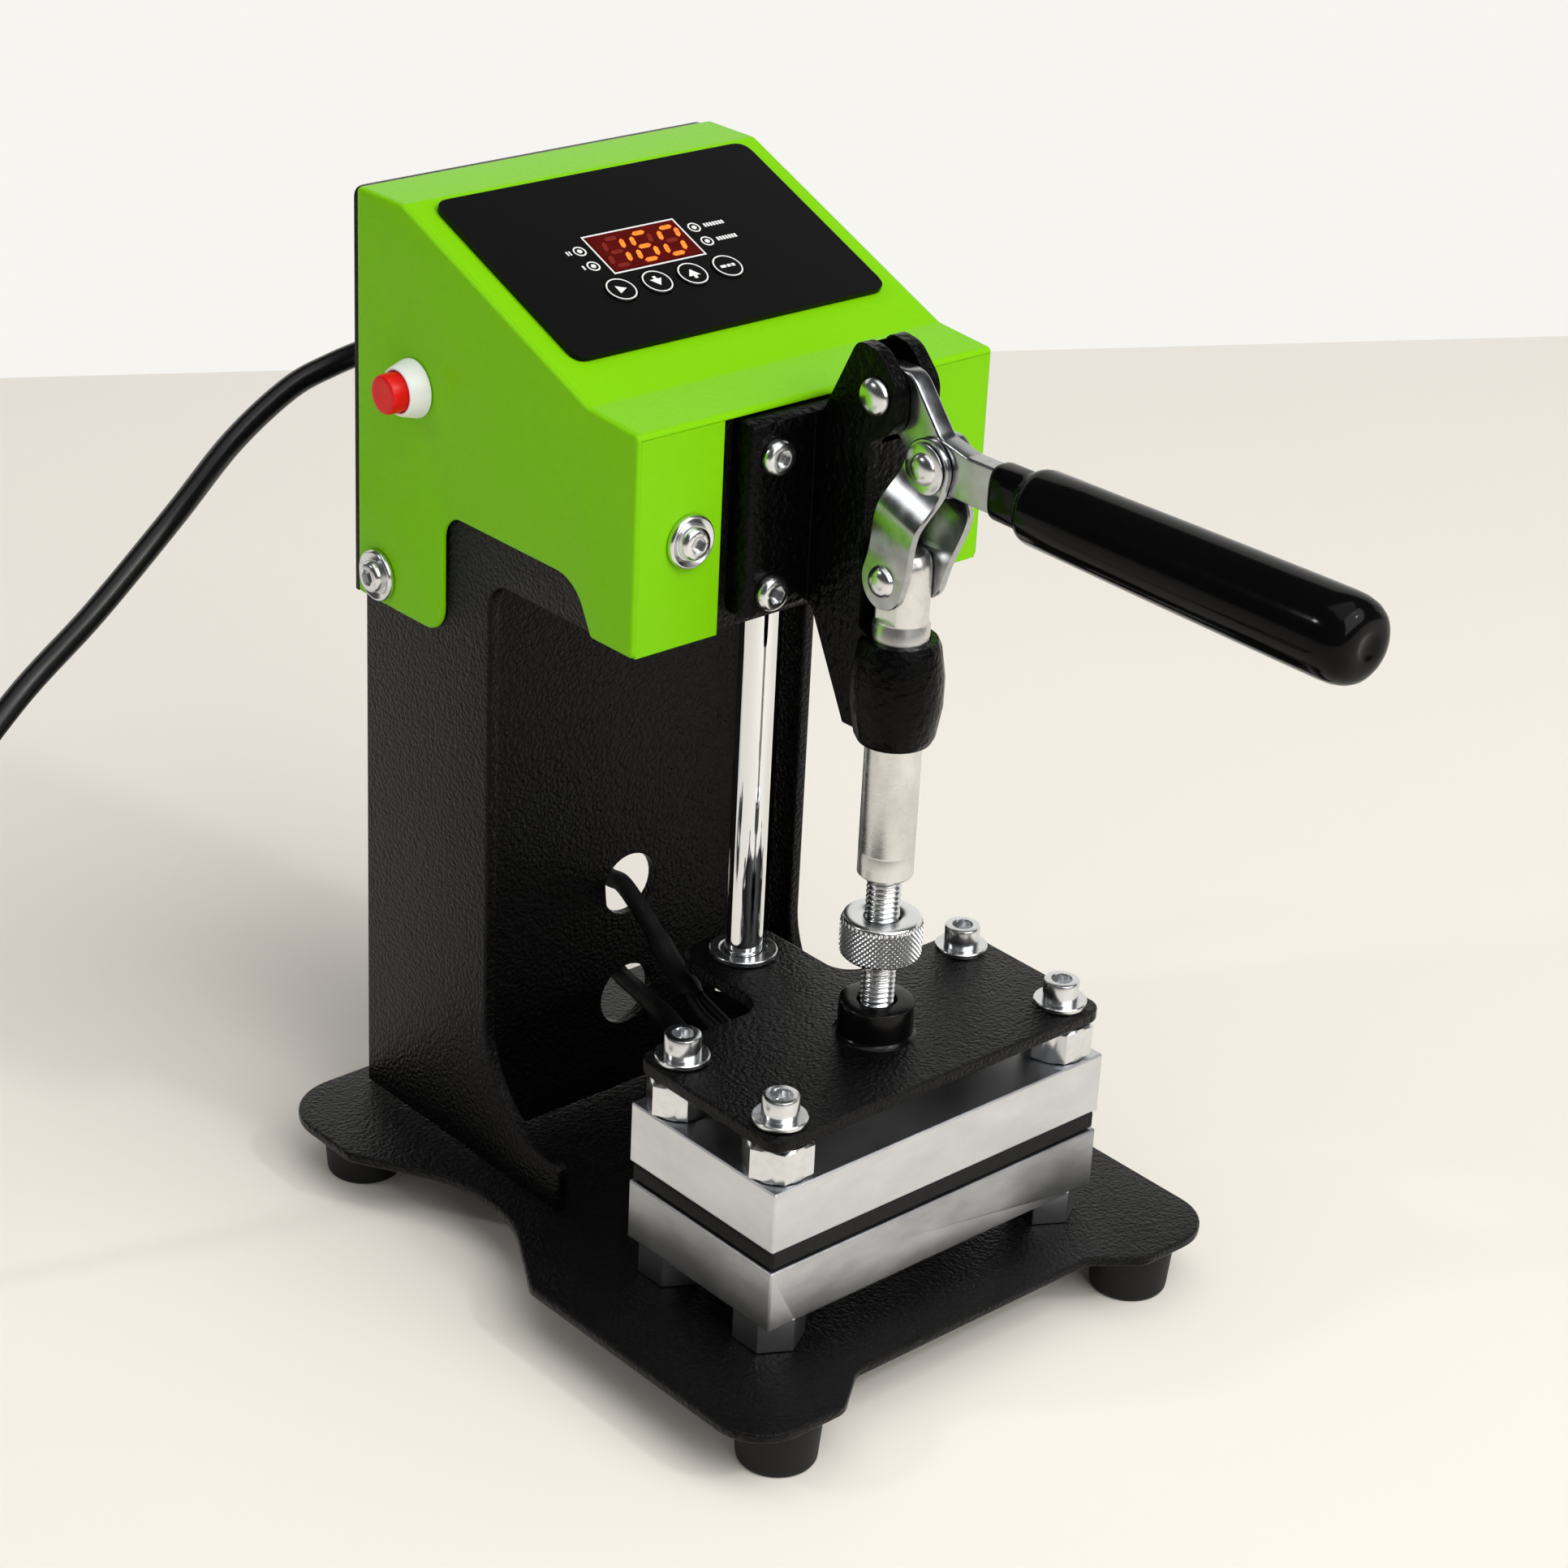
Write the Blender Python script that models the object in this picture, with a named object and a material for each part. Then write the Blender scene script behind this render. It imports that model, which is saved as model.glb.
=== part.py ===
"""Mini heat press: two heated platens closed by a toggle clamp on a C-frame.

The handle lifts the plunger through a lever and two bowed links. The plunger
carries a screwed adjuster, the pressure plate, its guide rod and the upper
platen. Metres, +Z up, the front of the press faces -Y. Machine coordinates
start at the plunger's axis on the floor; the empty press_axis puts them so
that the origin is under the middle of the whole press.
"""
import math

import bmesh
import bpy
from mathutils import Matrix, Vector

mm = 0.001

# Shared clearances
gap = 0.3 * mm
overrun = 4.0 * mm
edge_break = 0.8 * mm

# Rubber feet
foot_radius = 12.0 * mm
foot_floor_radius = 10.8 * mm
foot_height = 16.0 * mm
foot_chamfer = 1.0 * mm
front_foot_inset = 21.0 * mm
front_foot_setback = 14.5 * mm
rear_foot_inset = 18.0 * mm
rear_foot_setback = 20.0 * mm

# Base plate
base_thickness = 3.0 * mm
base_half_width = 87.0 * mm
base_front_y = -55.5 * mm
base_back_y = 158.0 * mm
base_recess_depth = 10.0 * mm
base_recess_half_width = 43.0 * mm
base_recess_step = 13.0 * mm
base_waist_half_width = 70.0 * mm
base_waist_y = 79.0 * mm
base_waist_half_length = 42.0 * mm
base_waist_flat = 13.0 * mm
base_waist_radius = 40.0 * mm
base_front_radius = 15.0 * mm
base_rear_radius = 20.0 * mm
base_small_radius = 7.0 * mm

# Platens, with the hexagonal legs under the lower one
platen_width = 120.0 * mm
platen_depth = 58.0 * mm
platen_thickness = 18.0 * mm
leg_height = 9.0 * mm
standoff_height = 10.0 * mm
hexagon_across = 17.0 * mm
pad_thickness = 5.4 * mm
pad_overhang = 1.0 * mm
bolt_pitch_x = 102.0 * mm
bolt_pitch_y = 39.0 * mm

# Pressure plate with its collar and rear tongue
plate_thickness = 4.0 * mm
plate_half_width = 60.0 * mm
plate_half_depth = 28.0 * mm
plate_corner_radius = 5.0 * mm
tongue_half_width = 15.0 * mm
tongue_back_y = 67.0 * mm
tongue_corner_radius = 9.0 * mm
tongue_fillet = 8.0 * mm
collar_radius = 10.2 * mm
collar_height = 10.0 * mm
collar_bore_depth = 8.0 * mm

# Platen bolts
bolt_shank_radius = 3.0 * mm
bolt_head_radius = 5.0 * mm
bolt_head_height = 6.0 * mm
bolt_socket_radius = 2.9 * mm
bolt_socket_depth = 3.0 * mm
bolt_washer_radius = 7.4 * mm
bolt_washer_height = 1.5 * mm
bolt_bite = 8.0 * mm

# Guide rod, its washer and its bush
rod_y = 54.0 * mm
rod_radius = 5.2 * mm
rod_top_z = 226.0 * mm
rod_nut_across = 17.0 * mm
rod_nut_height = 5.0 * mm
rod_washer_radius = 9.5 * mm
rod_washer_height = 1.6 * mm
bush_radius = 8.0 * mm
bush_flange_radius = 10.5 * mm
bush_flange_height = 2.0 * mm
bush_length = 24.0 * mm

# Adjuster: screwed stud and knurled nut
stud_radius = 4.7 * mm
stud_engagement = 12.0 * mm
adjuster_travel = 3.0 * mm
nut_radius = 11.0 * mm
nut_bottom_z = 109.0 * mm
nut_height = 11.5 * mm
nut_chamfer = 0.8 * mm

# Plunger and the pivots of the toggle
plunger_radius = 7.5 * mm
plunger_bottom_z = 133.0 * mm
plunger_neck_radius = 7.0 * mm
tang_half_thickness = 5.8 * mm
tang_height = 19.0 * mm
tang_rise = 6.6 * mm
tang_chamfer = 1.6 * mm
lower_pivot_z = 217.5 * mm
knee_y = -10.0 * mm
knee_z = 250.3 * mm
pivot_y = 6.8 * mm
pivot_z = 264.5 * mm
pin_radius = 3.0 * mm
pin_head_radius = 5.0 * mm
pin_head_height = 2.4 * mm

# Clamp body casting
flange_half_width = 28.5 * mm
flange_front_y = 28.0 * mm
flange_bottom_z = 201.5 * mm
flange_top_z = 254.5 * mm
flange_bevel = 2.0 * mm
spine_half_width = 7.3 * mm
spine_front_y = 8.2 * mm
ear_slot_half_width = 3.2 * mm
ear_radius = 7.6 * mm
ear_head_length = 10.0 * mm
slot_floor_drop = 13.5 * mm
barrel_top_z = 200.5 * mm
barrel_bottom_z = 172.0 * mm
barrel_end_radius = 10.8 * mm
barrel_belly_radius = 12.1 * mm
barrel_lip = 2.0 * mm
rib_back_y = 26.0 * mm
clamp_screw_x = 20.5 * mm
clamp_screw_low_z = 208.2 * mm
clamp_screw_high_z = 245.0 * mm
clamp_screw_radius = 4.8 * mm
clamp_screw_height = 2.8 * mm
clamp_shank_radius = 2.5 * mm
clamp_shank_length = 10.0 * mm
screw_socket_radius = 1.9 * mm
screw_socket_depth = 1.4 * mm

# Handle lever and grip
lever_half_thickness = 2.8 * mm
lever_eye_radius = 7.4 * mm
lever_bar_half_height = 6.0 * mm
lever_corner = 2.0 * mm
grip_front_y = -147.5 * mm
grip_back_y = -43.0 * mm
grip_back_radius = 9.6 * mm
grip_front_radius = 11.0 * mm
grip_neck_length = 12.0 * mm
grip_neck_half_width = 4.9 * mm
grip_neck_half_height = 7.3 * mm
lever_bite = 16.0 * mm

# Bowed links
link_half_width = 7.6 * mm
link_thickness = 2.0 * mm
link_bow = 8.2 * mm
link_head_radius = 4.2 * mm
link_head_height = 2.2 * mm

# Side plates, web and head bracket of the welded frame
frame_plate_thickness = 4.0 * mm
column_front_y = 95.0 * mm
column_back_y = 151.0 * mm
throat_z = 197.0 * mm
throat_radius = 7.0 * mm
side_plate_top_z = 228.0 * mm
flare_radius = 31.0 * mm
toe_height = 11.0 * mm
toe_radius = 3.0 * mm
web_thickness = 3.0 * mm
web_front_y = 104.0 * mm
web_hole_radius = 9.5 * mm
web_hole_high_z = 86.0 * mm
web_hole_low_z = 50.0 * mm
bracket_top_z = 254.0 * mm

# Sheet metal housing
wall = 1.5 * mm
housing_half_width = 60.5 * mm
housing_front_y = 34.0 * mm
housing_front_bottom_z = 197.0 * mm
shelf_front_z = 256.5 * mm
slope_foot_y = 54.0 * mm
slope_foot_rise = 1.5 * mm
slope_top_y = 132.0 * mm
slope_rise = 32.0 * mm
housing_back_y = 152.0 * mm
housing_back_bottom_z = 175.3 * mm
arch_rear_y = 113.3 * mm
arch_top_z = 210.7 * mm
arch_front_y = 58.0 * mm
arch_lip_y = 51.0 * mm
arch_rear_radius = 5.0 * mm
arch_front_radius = 12.0 * mm
arch_leg_radius = 8.0 * mm
bend_radius = 2.5 * mm
notch_half_width = 32.5 * mm
notch_rim = 1.5 * mm
panel_thickness = 1.5 * mm
panel_inset = 0.6 * mm
panel_corner_radius = 3.0 * mm

# Housing screws with cup washers
cup_radius = 7.3 * mm
cup_height = 2.2 * mm
cup_rim = 0.6 * mm
cup_head_radius = 4.7 * mm
cup_head_height = 2.4 * mm
side_screw_y = 142.0 * mm
side_screw_z = 183.6 * mm
front_screw_x = 43.0 * mm
front_screw_z = 225.4 * mm

# Control panel, in the plane of the slope: x across, y up the slope
overlay_half_width = 53.0 * mm
overlay_low = 15.2 * mm
overlay_high = 81.2 * mm
overlay_thickness = 1.5 * mm
overlay_corner_radius = 4.5 * mm
display_x = -6.2 * mm
display_y = 49.4 * mm
display_half_width = 14.8 * mm
display_half_height = 7.1 * mm
display_thickness = 1.2 * mm
key_middle_x = -6.2 * mm
key_y = 35.4 * mm
key_pitch = 12.0 * mm
key_count = 4
key_radius = 4.6 * mm
key_height = 1.1 * mm
key_proud = 0.4 * mm
board_half_width = 46.0 * mm
board_low = 20.0 * mm
board_high = 76.0 * mm
board_thickness = 1.6 * mm
board_post_height = 8.0 * mm
board_post_radius = 3.0 * mm
board_post_inset = 5.0 * mm

# Power switch
switch_y = 126.0 * mm
switch_drop = 16.0 * mm
switch_rim_radius = 8.0 * mm
switch_mouth_radius = 6.8 * mm
switch_height = 5.6 * mm
switch_body_radius = 5.6 * mm
switch_body_length = 16.0 * mm
button_radius = 5.4 * mm
button_proud = 4.5 * mm
button_travel = 2.5 * mm
button_length = 6.8 * mm
button_edge = 0.8 * mm

# Heater cables
cable_radius = 3.2 * mm
cable_end_drop = 9.5 * mm
cable_high_exit_x = -2.0 * mm
cable_low_exit_x = 4.0 * mm

# Cord gland
gland_x = -4.0 * mm
gland_z = 226.0 * mm
gland_neck_radius = 5.5 * mm
gland_neck_length = 6.0 * mm
gland_flange_radius = 9.0 * mm
gland_flange_height = 2.5 * mm
relief_length = 27.5 * mm
relief_root_radius = 6.2 * mm
relief_tip_radius = 4.4 * mm

# Power cord, coil and plug
cord_diameter = 7.0 * mm
cord_floor_clearance = 0.1 * mm
coil_offset_x = 286.0 * mm
coil_offset_y = 31.0 * mm
coil_pitch = 7.5 * mm
coil_middle_radius = 38.5 * mm
coil_turns = 4.25
coil_points_per_turn = 24
coil_tail = 30.0 * mm
plug_half_width = 12.5 * mm
plug_length = 33.0 * mm
plug_nose_share = 0.45
plug_tail_half_width = 5.5 * mm
plug_height_clearance = 0.1 * mm
blade_length = 16.0 * mm
blade_half_width = 3.2 * mm
blade_half_thickness = 0.8 * mm
blade_spacing = 6.35 * mm
earth_pin_radius = 2.4 * mm
earth_pin_drop = 5.5 * mm

# Facets
round_segments = 28
small_segments = 20

# Heights that follow from the stack on the base
base_bottom_z = foot_height + gap
base_top_z = base_bottom_z + base_thickness
lower_platen_bottom_z = base_top_z + gap + leg_height
lower_platen_top_z = lower_platen_bottom_z + platen_thickness
pad_bottom_z = lower_platen_top_z + gap
pad_top_z = pad_bottom_z + pad_thickness
upper_platen_bottom_z = pad_top_z + gap
upper_platen_top_z = upper_platen_bottom_z + platen_thickness
standoff_bottom_z = upper_platen_top_z + gap
plate_bottom_z = standoff_bottom_z + standoff_height + gap
plate_top_z = plate_bottom_z + plate_thickness
collar_top_z = plate_top_z + collar_height
nut_top_z = nut_bottom_z + nut_height
tang_bottom_z = lower_pivot_z + tang_rise - tang_height

slope_foot_z = shelf_front_z + slope_foot_rise
housing_top_z = slope_foot_z + slope_rise
switch_z = slope_foot_z - switch_drop

# Places that follow from what the pieces stand on
front_foot_x = base_half_width - front_foot_inset
front_foot_y = base_front_y + front_foot_setback
rear_foot_x = base_half_width - rear_foot_inset
rear_foot_y = base_back_y - rear_foot_setback
coil_x = gland_x - coil_offset_x
coil_y = housing_back_y - coil_offset_y

# Widths that follow from the housing and its frame
housing_inner_half_width = housing_half_width - wall
side_plate_outer_x = housing_inner_half_width - gap
side_plate_inner_x = side_plate_outer_x - frame_plate_thickness
inner_half_width = side_plate_inner_x - gap
bracket_front_y = housing_front_y + wall + gap
bracket_back_y = bracket_front_y + frame_plate_thickness
bracket_bottom_z = throat_z + gap
bracket_floor_z = bracket_bottom_z + frame_plate_thickness
frame_bottom_z = base_top_z + gap
flange_back_y = bracket_front_y - gap

# The whole press is centred on the origin, grip tip to base edge
press_axis_y = -(grip_front_y + base_back_y) / 2.0

MACHINE = "press_axis"
PANEL = "panel_axes"
pivots = {}


def clear_scene():
    """Remove what the file opens with."""
    for item in list(bpy.data.objects):
        bpy.data.objects.remove(item, do_unlink=True)


def add_pivot(name, place, turn_x=0.0):
    """An empty at a place in machine coordinates, parent of what turns or slides there."""
    empty = bpy.data.objects.new(name, None)
    bpy.context.scene.collection.objects.link(empty)
    empty.rotation_euler = (turn_x, 0.0, 0.0)
    if name == MACHINE:
        empty.location = (0.0, press_axis_y, 0.0)
    else:
        empty.parent = pivots[MACHINE][0]
        empty.location = place
    pivots[name] = (empty, Vector(place))


def make_material(name, colour, roughness, metallic=0.0):
    material = bpy.data.materials.new(name)
    material.use_nodes = True
    shader = material.node_tree.nodes["Principled BSDF"]
    shader.inputs["Base Color"].default_value = (*colour, 1.0)
    shader.inputs["Roughness"].default_value = roughness
    shader.inputs["Metallic"].default_value = metallic
    material.diffuse_color = (*colour, 1.0)
    return material


def add_solid(name, mesh_edit, material, pivot=MACHINE, smooth=True):
    """Turn an edit mesh in machine coordinates into an object on its pivot."""
    bmesh.ops.remove_doubles(mesh_edit, verts=mesh_edit.verts, dist=mm / 1000.0)
    bmesh.ops.recalc_face_normals(mesh_edit, faces=mesh_edit.faces)
    empty, place = pivots[pivot]
    if pivot != PANEL:
        bmesh.ops.translate(mesh_edit, verts=mesh_edit.verts, vec=-place)
    mesh = bpy.data.meshes.new(name)
    mesh_edit.to_mesh(mesh)
    mesh_edit.free()
    solid = bpy.data.objects.new(name, mesh)
    bpy.context.scene.collection.objects.link(solid)
    solid.parent = empty
    solid.data.materials.append(material)
    if smooth:
        mesh.shade_smooth()
        mesh.set_sharp_from_angle(angle=math.radians(35))
    return solid


def cut(target, name, mesh_edit, pivot=MACHINE, operation="DIFFERENCE"):
    """Subtract a hidden tool from a solid, or join one to it."""
    tool = add_solid(name, mesh_edit, target.data.materials[0], pivot)
    tool.hide_render = True
    tool.display_type = "WIRE"
    step = target.modifiers.new(name, "BOOLEAN")
    step.operation = operation
    step.object = tool
    return tool


def round_edges(solid, width, segments=2, angle=40.0):
    bevel = solid.modifiers.new("edge", "BEVEL")
    bevel.width = width
    bevel.segments = segments
    bevel.limit_method = "ANGLE"
    bevel.angle_limit = math.radians(angle)


def outline(corners, steps=5):
    """Corners (u, v, radius) in order, each replaced by a tangent arc."""
    points = []
    count = len(corners)
    for index, (u, v, radius) in enumerate(corners):
        here = Vector((u, v))
        before = Vector(corners[index - 1][:2]) - here
        after = Vector(corners[(index + 1) % count][:2]) - here
        turn = before.angle(after)
        if radius <= 0.0 or turn > math.radians(178):
            points.append((u, v))
            continue
        reach = radius / math.tan(turn / 2.0)
        reach = min(reach, before.length * 0.49, after.length * 0.49)
        start = here + before.normalized() * reach
        end = here + after.normalized() * reach
        for step in range(steps + 1):
            share = step / steps
            low = start.lerp(here, share)
            high = here.lerp(end, share)
            points.append(tuple(low.lerp(high, share)))
    return points


def arc(centre_u, centre_v, radius, first_degrees, last_degrees, steps=8):
    """Corners without a radius along a circular arc."""
    corners = []
    for step in range(steps + 1):
        turn = math.radians(first_degrees + (last_degrees - first_degrees) * step / steps)
        corners.append((centre_u + radius * math.cos(turn), centre_v + radius * math.sin(turn), 0.0))
    return corners


def on_plane(axis, u, v, height):
    """A point of an outline drawn across an axis."""
    if axis == "X":
        return (height, u, v)
    if axis == "Y":
        return (u, height, v)
    return (u, v, height)


def prism(points, axis, low, high):
    """An outline pulled along an axis from low to high."""
    mesh_edit = bmesh.new()
    rings = []
    for height in (low, high):
        rings.append([mesh_edit.verts.new(on_plane(axis, u, v, height)) for u, v in points])
    mesh_edit.faces.new(rings[0])
    mesh_edit.faces.new(rings[1])
    for index in range(len(points)):
        follow = (index + 1) % len(points)
        mesh_edit.faces.new((rings[0][index], rings[0][follow], rings[1][follow], rings[1][index]))
    return mesh_edit


def block(low, high):
    """A box between two corners."""
    points = [(low[0], low[1]), (high[0], low[1]), (high[0], high[1]), (low[0], high[1])]
    return prism(points, "Z", low[2], high[2])


def turned(profile, axis, centre, segments=round_segments, bored=False):
    """A profile (radius, height) turned about an axis through centre.

    A bored profile is a closed loop round the bore. Any other starts and ends
    on the axis or is capped there.
    """
    mesh_edit = bmesh.new()
    rings = []
    for radius, height in profile:
        if radius <= 0.0:
            rings.append([mesh_edit.verts.new(turned_point(axis, centre, 0.0, 0.0, height))])
            continue
        ring = []
        for index in range(segments):
            turn = 2.0 * math.pi * (index + 0.5) / segments
            u = radius * math.cos(turn)
            v = radius * math.sin(turn)
            ring.append(mesh_edit.verts.new(turned_point(axis, centre, u, v, height)))
        rings.append(ring)
    pairs = list(zip(rings, rings[1:]))
    if bored:
        pairs.append((rings[-1], rings[0]))
    for low, high in pairs:
        bridge(mesh_edit, low, high)
    if not bored:
        for ring in (rings[0], rings[-1]):
            if len(ring) > 1:
                mesh_edit.faces.new(ring)
    return mesh_edit


def turned_point(axis, centre, u, v, height):
    if axis == "X":
        return (height, centre[1] + u, centre[2] + v)
    if axis == "Y":
        return (centre[0] + u, height, centre[2] + v)
    return (centre[0] + u, centre[1] + v, height)


def bridge(mesh_edit, low, high):
    """Faces between two rings, either of which may be a single point."""
    count = max(len(low), len(high))
    for index in range(count):
        follow = (index + 1) % count
        corners = []
        for ring, place in ((low, index), (low, follow), (high, follow), (high, index)):
            corner = ring[place % len(ring)]
            if corner not in corners:
                corners.append(corner)
        if len(corners) > 2:
            mesh_edit.faces.new(corners)


def rod(axis, centre, radius, low, high, segments=small_segments):
    return turned([(0.0, low), (radius, low), (radius, high), (0.0, high)], axis, centre, segments)


def hexagon(centre_u, centre_v, across):
    """Six corners of a hexagon of a width across its flats."""
    radius = across / math.sqrt(3.0)
    corners = []
    for side in range(6):
        turn = math.radians(60.0 * side + 30.0)
        corners.append((centre_u + radius * math.cos(turn), centre_v + radius * math.sin(turn)))
    return corners


def smooth_route(route, spacing):
    """Points at even spacing on a smooth curve through the route's own points."""
    places = [Vector(point) for point in route]
    places = [places[0] * 2.0 - places[1]] + places + [places[-1] * 2.0 - places[-2]]
    fine = []
    for index in range(1, len(places) - 2):
        p0, p1, p2, p3 = places[index - 1:index + 3]
        for step in range(24):
            t = step / 24.0
            fine.append(0.5 * (2.0 * p1 + (p2 - p0) * t + (2.0 * p0 - 5.0 * p1 + 4.0 * p2 - p3) * t * t
                               + (3.0 * p1 - p0 - 3.0 * p2 + p3) * t * t * t))
    fine.append(places[-2])
    length = sum((b - a).length for a, b in zip(fine, fine[1:]))
    count = max(2, round(length / spacing))
    points = [fine[0]]
    walked = 0.0
    for a, b in zip(fine, fine[1:]):
        walked += (b - a).length
        if walked >= length * len(points) / count and len(points) < count:
            points.append(b)
    points.append(fine[-1])
    return points, length


def add_tube(name, points, radius, material, resolution=2, pivot=MACHINE):
    """A closed tube along points in machine coordinates."""
    curve = bpy.data.curves.new(name, "CURVE")
    curve.dimensions = "3D"
    curve.bevel_depth = radius
    curve.bevel_resolution = resolution
    curve.use_fill_caps = True
    spline = curve.splines.new("POLY")
    spline.points.add(len(points) - 1)
    place = pivots[pivot][1]
    for target, point in zip(spline.points, points):
        target.co = (*(Vector(point) - place), 1.0)
    tube = bpy.data.objects.new(name, curve)
    bpy.context.scene.collection.objects.link(tube)
    tube.parent = pivots[pivot][0]
    tube.data.materials.append(material)
    return tube


def mirror_outline(half):
    """A half outline from front to back at +x, closed by its mirror image at -x."""
    return half + [(-u, v, radius) for u, v, radius in reversed(half)]


def build_materials():
    return {
        "powder_black": make_material("powder_black", (0.012, 0.012, 0.013), 0.38),
        "cast_black": make_material("cast_black", (0.01, 0.01, 0.011), 0.28),
        "green": make_material("green", (0.26, 0.72, 0.015), 0.3),
        "overlay": make_material("overlay", (0.008, 0.008, 0.009), 0.5),
        "display": make_material("display", (0.16, 0.01, 0.005), 0.2),
        "key": make_material("key", (0.02, 0.02, 0.022), 0.45),
        "board": make_material("board", (0.02, 0.14, 0.05), 0.5),
        "white": make_material("white", (0.82, 0.82, 0.8), 0.35),
        "red": make_material("red", (0.75, 0.015, 0.012), 0.3),
        "aluminium": make_material("aluminium", (0.72, 0.73, 0.75), 0.3, 1.0),
        "zinc": make_material("zinc", (0.66, 0.67, 0.7), 0.28, 1.0),
        "chrome": make_material("chrome", (0.8, 0.81, 0.83), 0.06, 1.0),
        "steel": make_material("steel", (0.6, 0.6, 0.6), 0.32, 1.0),
        "bronze": make_material("bronze", (0.45, 0.27, 0.11), 0.4, 1.0),
        "rubber": make_material("rubber", (0.02, 0.02, 0.02), 0.75),
        "vinyl": make_material("vinyl", (0.008, 0.008, 0.009), 0.16),
        "silicone": make_material("silicone", (0.03, 0.03, 0.03), 0.8),
    }


def add_feet(look):
    """Four rubber feet, wider at the plate than on the floor."""
    for side, x in (("left", -1.0), ("right", 1.0)):
        for end, foot_x, y in (("front", front_foot_x, front_foot_y), ("rear", rear_foot_x, rear_foot_y)):
            profile = [(0.0, 0.0), (foot_floor_radius - foot_chamfer, 0.0),
                       (foot_floor_radius, foot_chamfer), (foot_radius, foot_height), (0.0, foot_height)]
            solid = turned(profile, "Z", (x * foot_x, y, 0.0))
            add_solid(f"foot_{end}_{side}", solid, look["rubber"])


def add_base(look):
    """Flat steel plate with two front lobes, a waist on each side and two rear lobes."""
    recess_y = base_front_y + base_recess_depth
    lobe_x = base_recess_half_width + base_recess_step
    waist_low = base_waist_y - base_waist_half_length
    waist_high = base_waist_y + base_waist_half_length
    half = [
        (base_recess_half_width, recess_y, base_small_radius),
        (lobe_x, base_front_y, base_small_radius),
        (base_half_width, base_front_y, base_front_radius),
        (base_half_width, waist_low, base_small_radius),
        (base_waist_half_width, base_waist_y - base_waist_flat, base_waist_radius),
        (base_waist_half_width, base_waist_y + base_waist_flat, base_waist_radius),
        (base_half_width, waist_high, base_small_radius),
        (base_half_width, base_back_y, base_rear_radius),
    ]
    solid = prism(outline(mirror_outline(half), 6), "Z", base_bottom_z, base_top_z)
    add_solid("base_plate", solid, look["powder_black"])


def side_plate_outline():
    """C-shaped plate: an arm over the throat, a straight column and a flared foot."""
    centre_y = column_front_y - flare_radius
    centre_z = base_top_z + toe_height + flare_radius + toe_radius
    corners = [
        (column_back_y, frame_bottom_z, 0.0),
        (column_back_y, side_plate_top_z, throat_radius),
        (bracket_front_y, side_plate_top_z, throat_radius),
        (bracket_front_y, throat_z, 0.0),
        (column_front_y, throat_z, throat_radius),
    ]
    corners += arc(centre_y, centre_z, flare_radius, 0.0, -84.0, 9)
    toe_y = centre_y - toe_radius
    corners += [(toe_y, centre_z - flare_radius, toe_radius), (toe_y, frame_bottom_z, 0.0)]
    return outline(corners)


def add_side_plates(look):
    for side, x in (("left", -1.0), ("right", 1.0)):
        low, high = sorted((x * side_plate_inner_x, x * side_plate_outer_x))
        plate = add_solid(f"side_plate_{side}", prism(side_plate_outline(), "X", low, high),
                          look["powder_black"])
        centre = (0.0, side_screw_y, side_screw_z)
        cut(plate, f"side_plate_{side}_hole",
            rod("X", centre, clamp_shank_radius + gap, low - overrun, high + overrun))


def add_web(look):
    """Plate across the column, with a hole for each heater cable."""
    solid = block((-inner_half_width, web_front_y, frame_bottom_z),
                  (inner_half_width, web_front_y + web_thickness, throat_z))
    web = add_solid("column_web", solid, look["powder_black"])
    for name, z in (("high", web_hole_high_z), ("low", web_hole_low_z)):
        cut(web, f"web_hole_{name}",
            rod("Y", (0.0, 0.0, z), web_hole_radius, web_front_y - overrun,
                web_front_y + web_thickness + overrun, round_segments))


def add_head_bracket(look):
    """Angle between the side plates: a front plate for the clamp and a floor for the bush."""
    corners = [
        (bracket_front_y, bracket_bottom_z), (bracket_front_y, bracket_top_z),
        (bracket_back_y, bracket_top_z), (bracket_back_y, bracket_floor_z),
        (column_front_y, bracket_floor_z), (column_front_y, bracket_bottom_z),
    ]
    solid = prism(corners, "X", -inner_half_width, inner_half_width)
    bracket = add_solid("head_bracket", solid, look["powder_black"])
    cut(bracket, "bush_seat",
        rod("Z", (0.0, rod_y, 0.0), bush_radius + gap, bracket_bottom_z - overrun,
            bracket_floor_z + overrun, round_segments))
    places = [(x, z) for x in (-clamp_screw_x, clamp_screw_x) for z in (clamp_screw_low_z, clamp_screw_high_z)]
    places += [(x, front_screw_z) for x in (-front_screw_x, front_screw_x)]
    for index, (x, z) in enumerate(places):
        cut(bracket, f"bracket_hole_{index + 1}",
            rod("Y", (x, 0.0, z), clamp_shank_radius + gap, bracket_front_y - overrun,
                bracket_back_y + overrun))


def add_bush(look):
    """Flanged bearing that the guide rod slides in."""
    inner = rod_radius + gap
    low = bracket_bottom_z - gap
    profile = [
        (inner, low - bush_flange_height), (bush_flange_radius, low - bush_flange_height),
        (bush_flange_radius, low), (bush_radius, low),
        (bush_radius, low + bush_length), (inner, low + bush_length),
    ]
    solid = turned(profile, "Z", (0.0, rod_y, 0.0), bored=True)
    add_solid("guide_bush", solid, look["bronze"])


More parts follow.
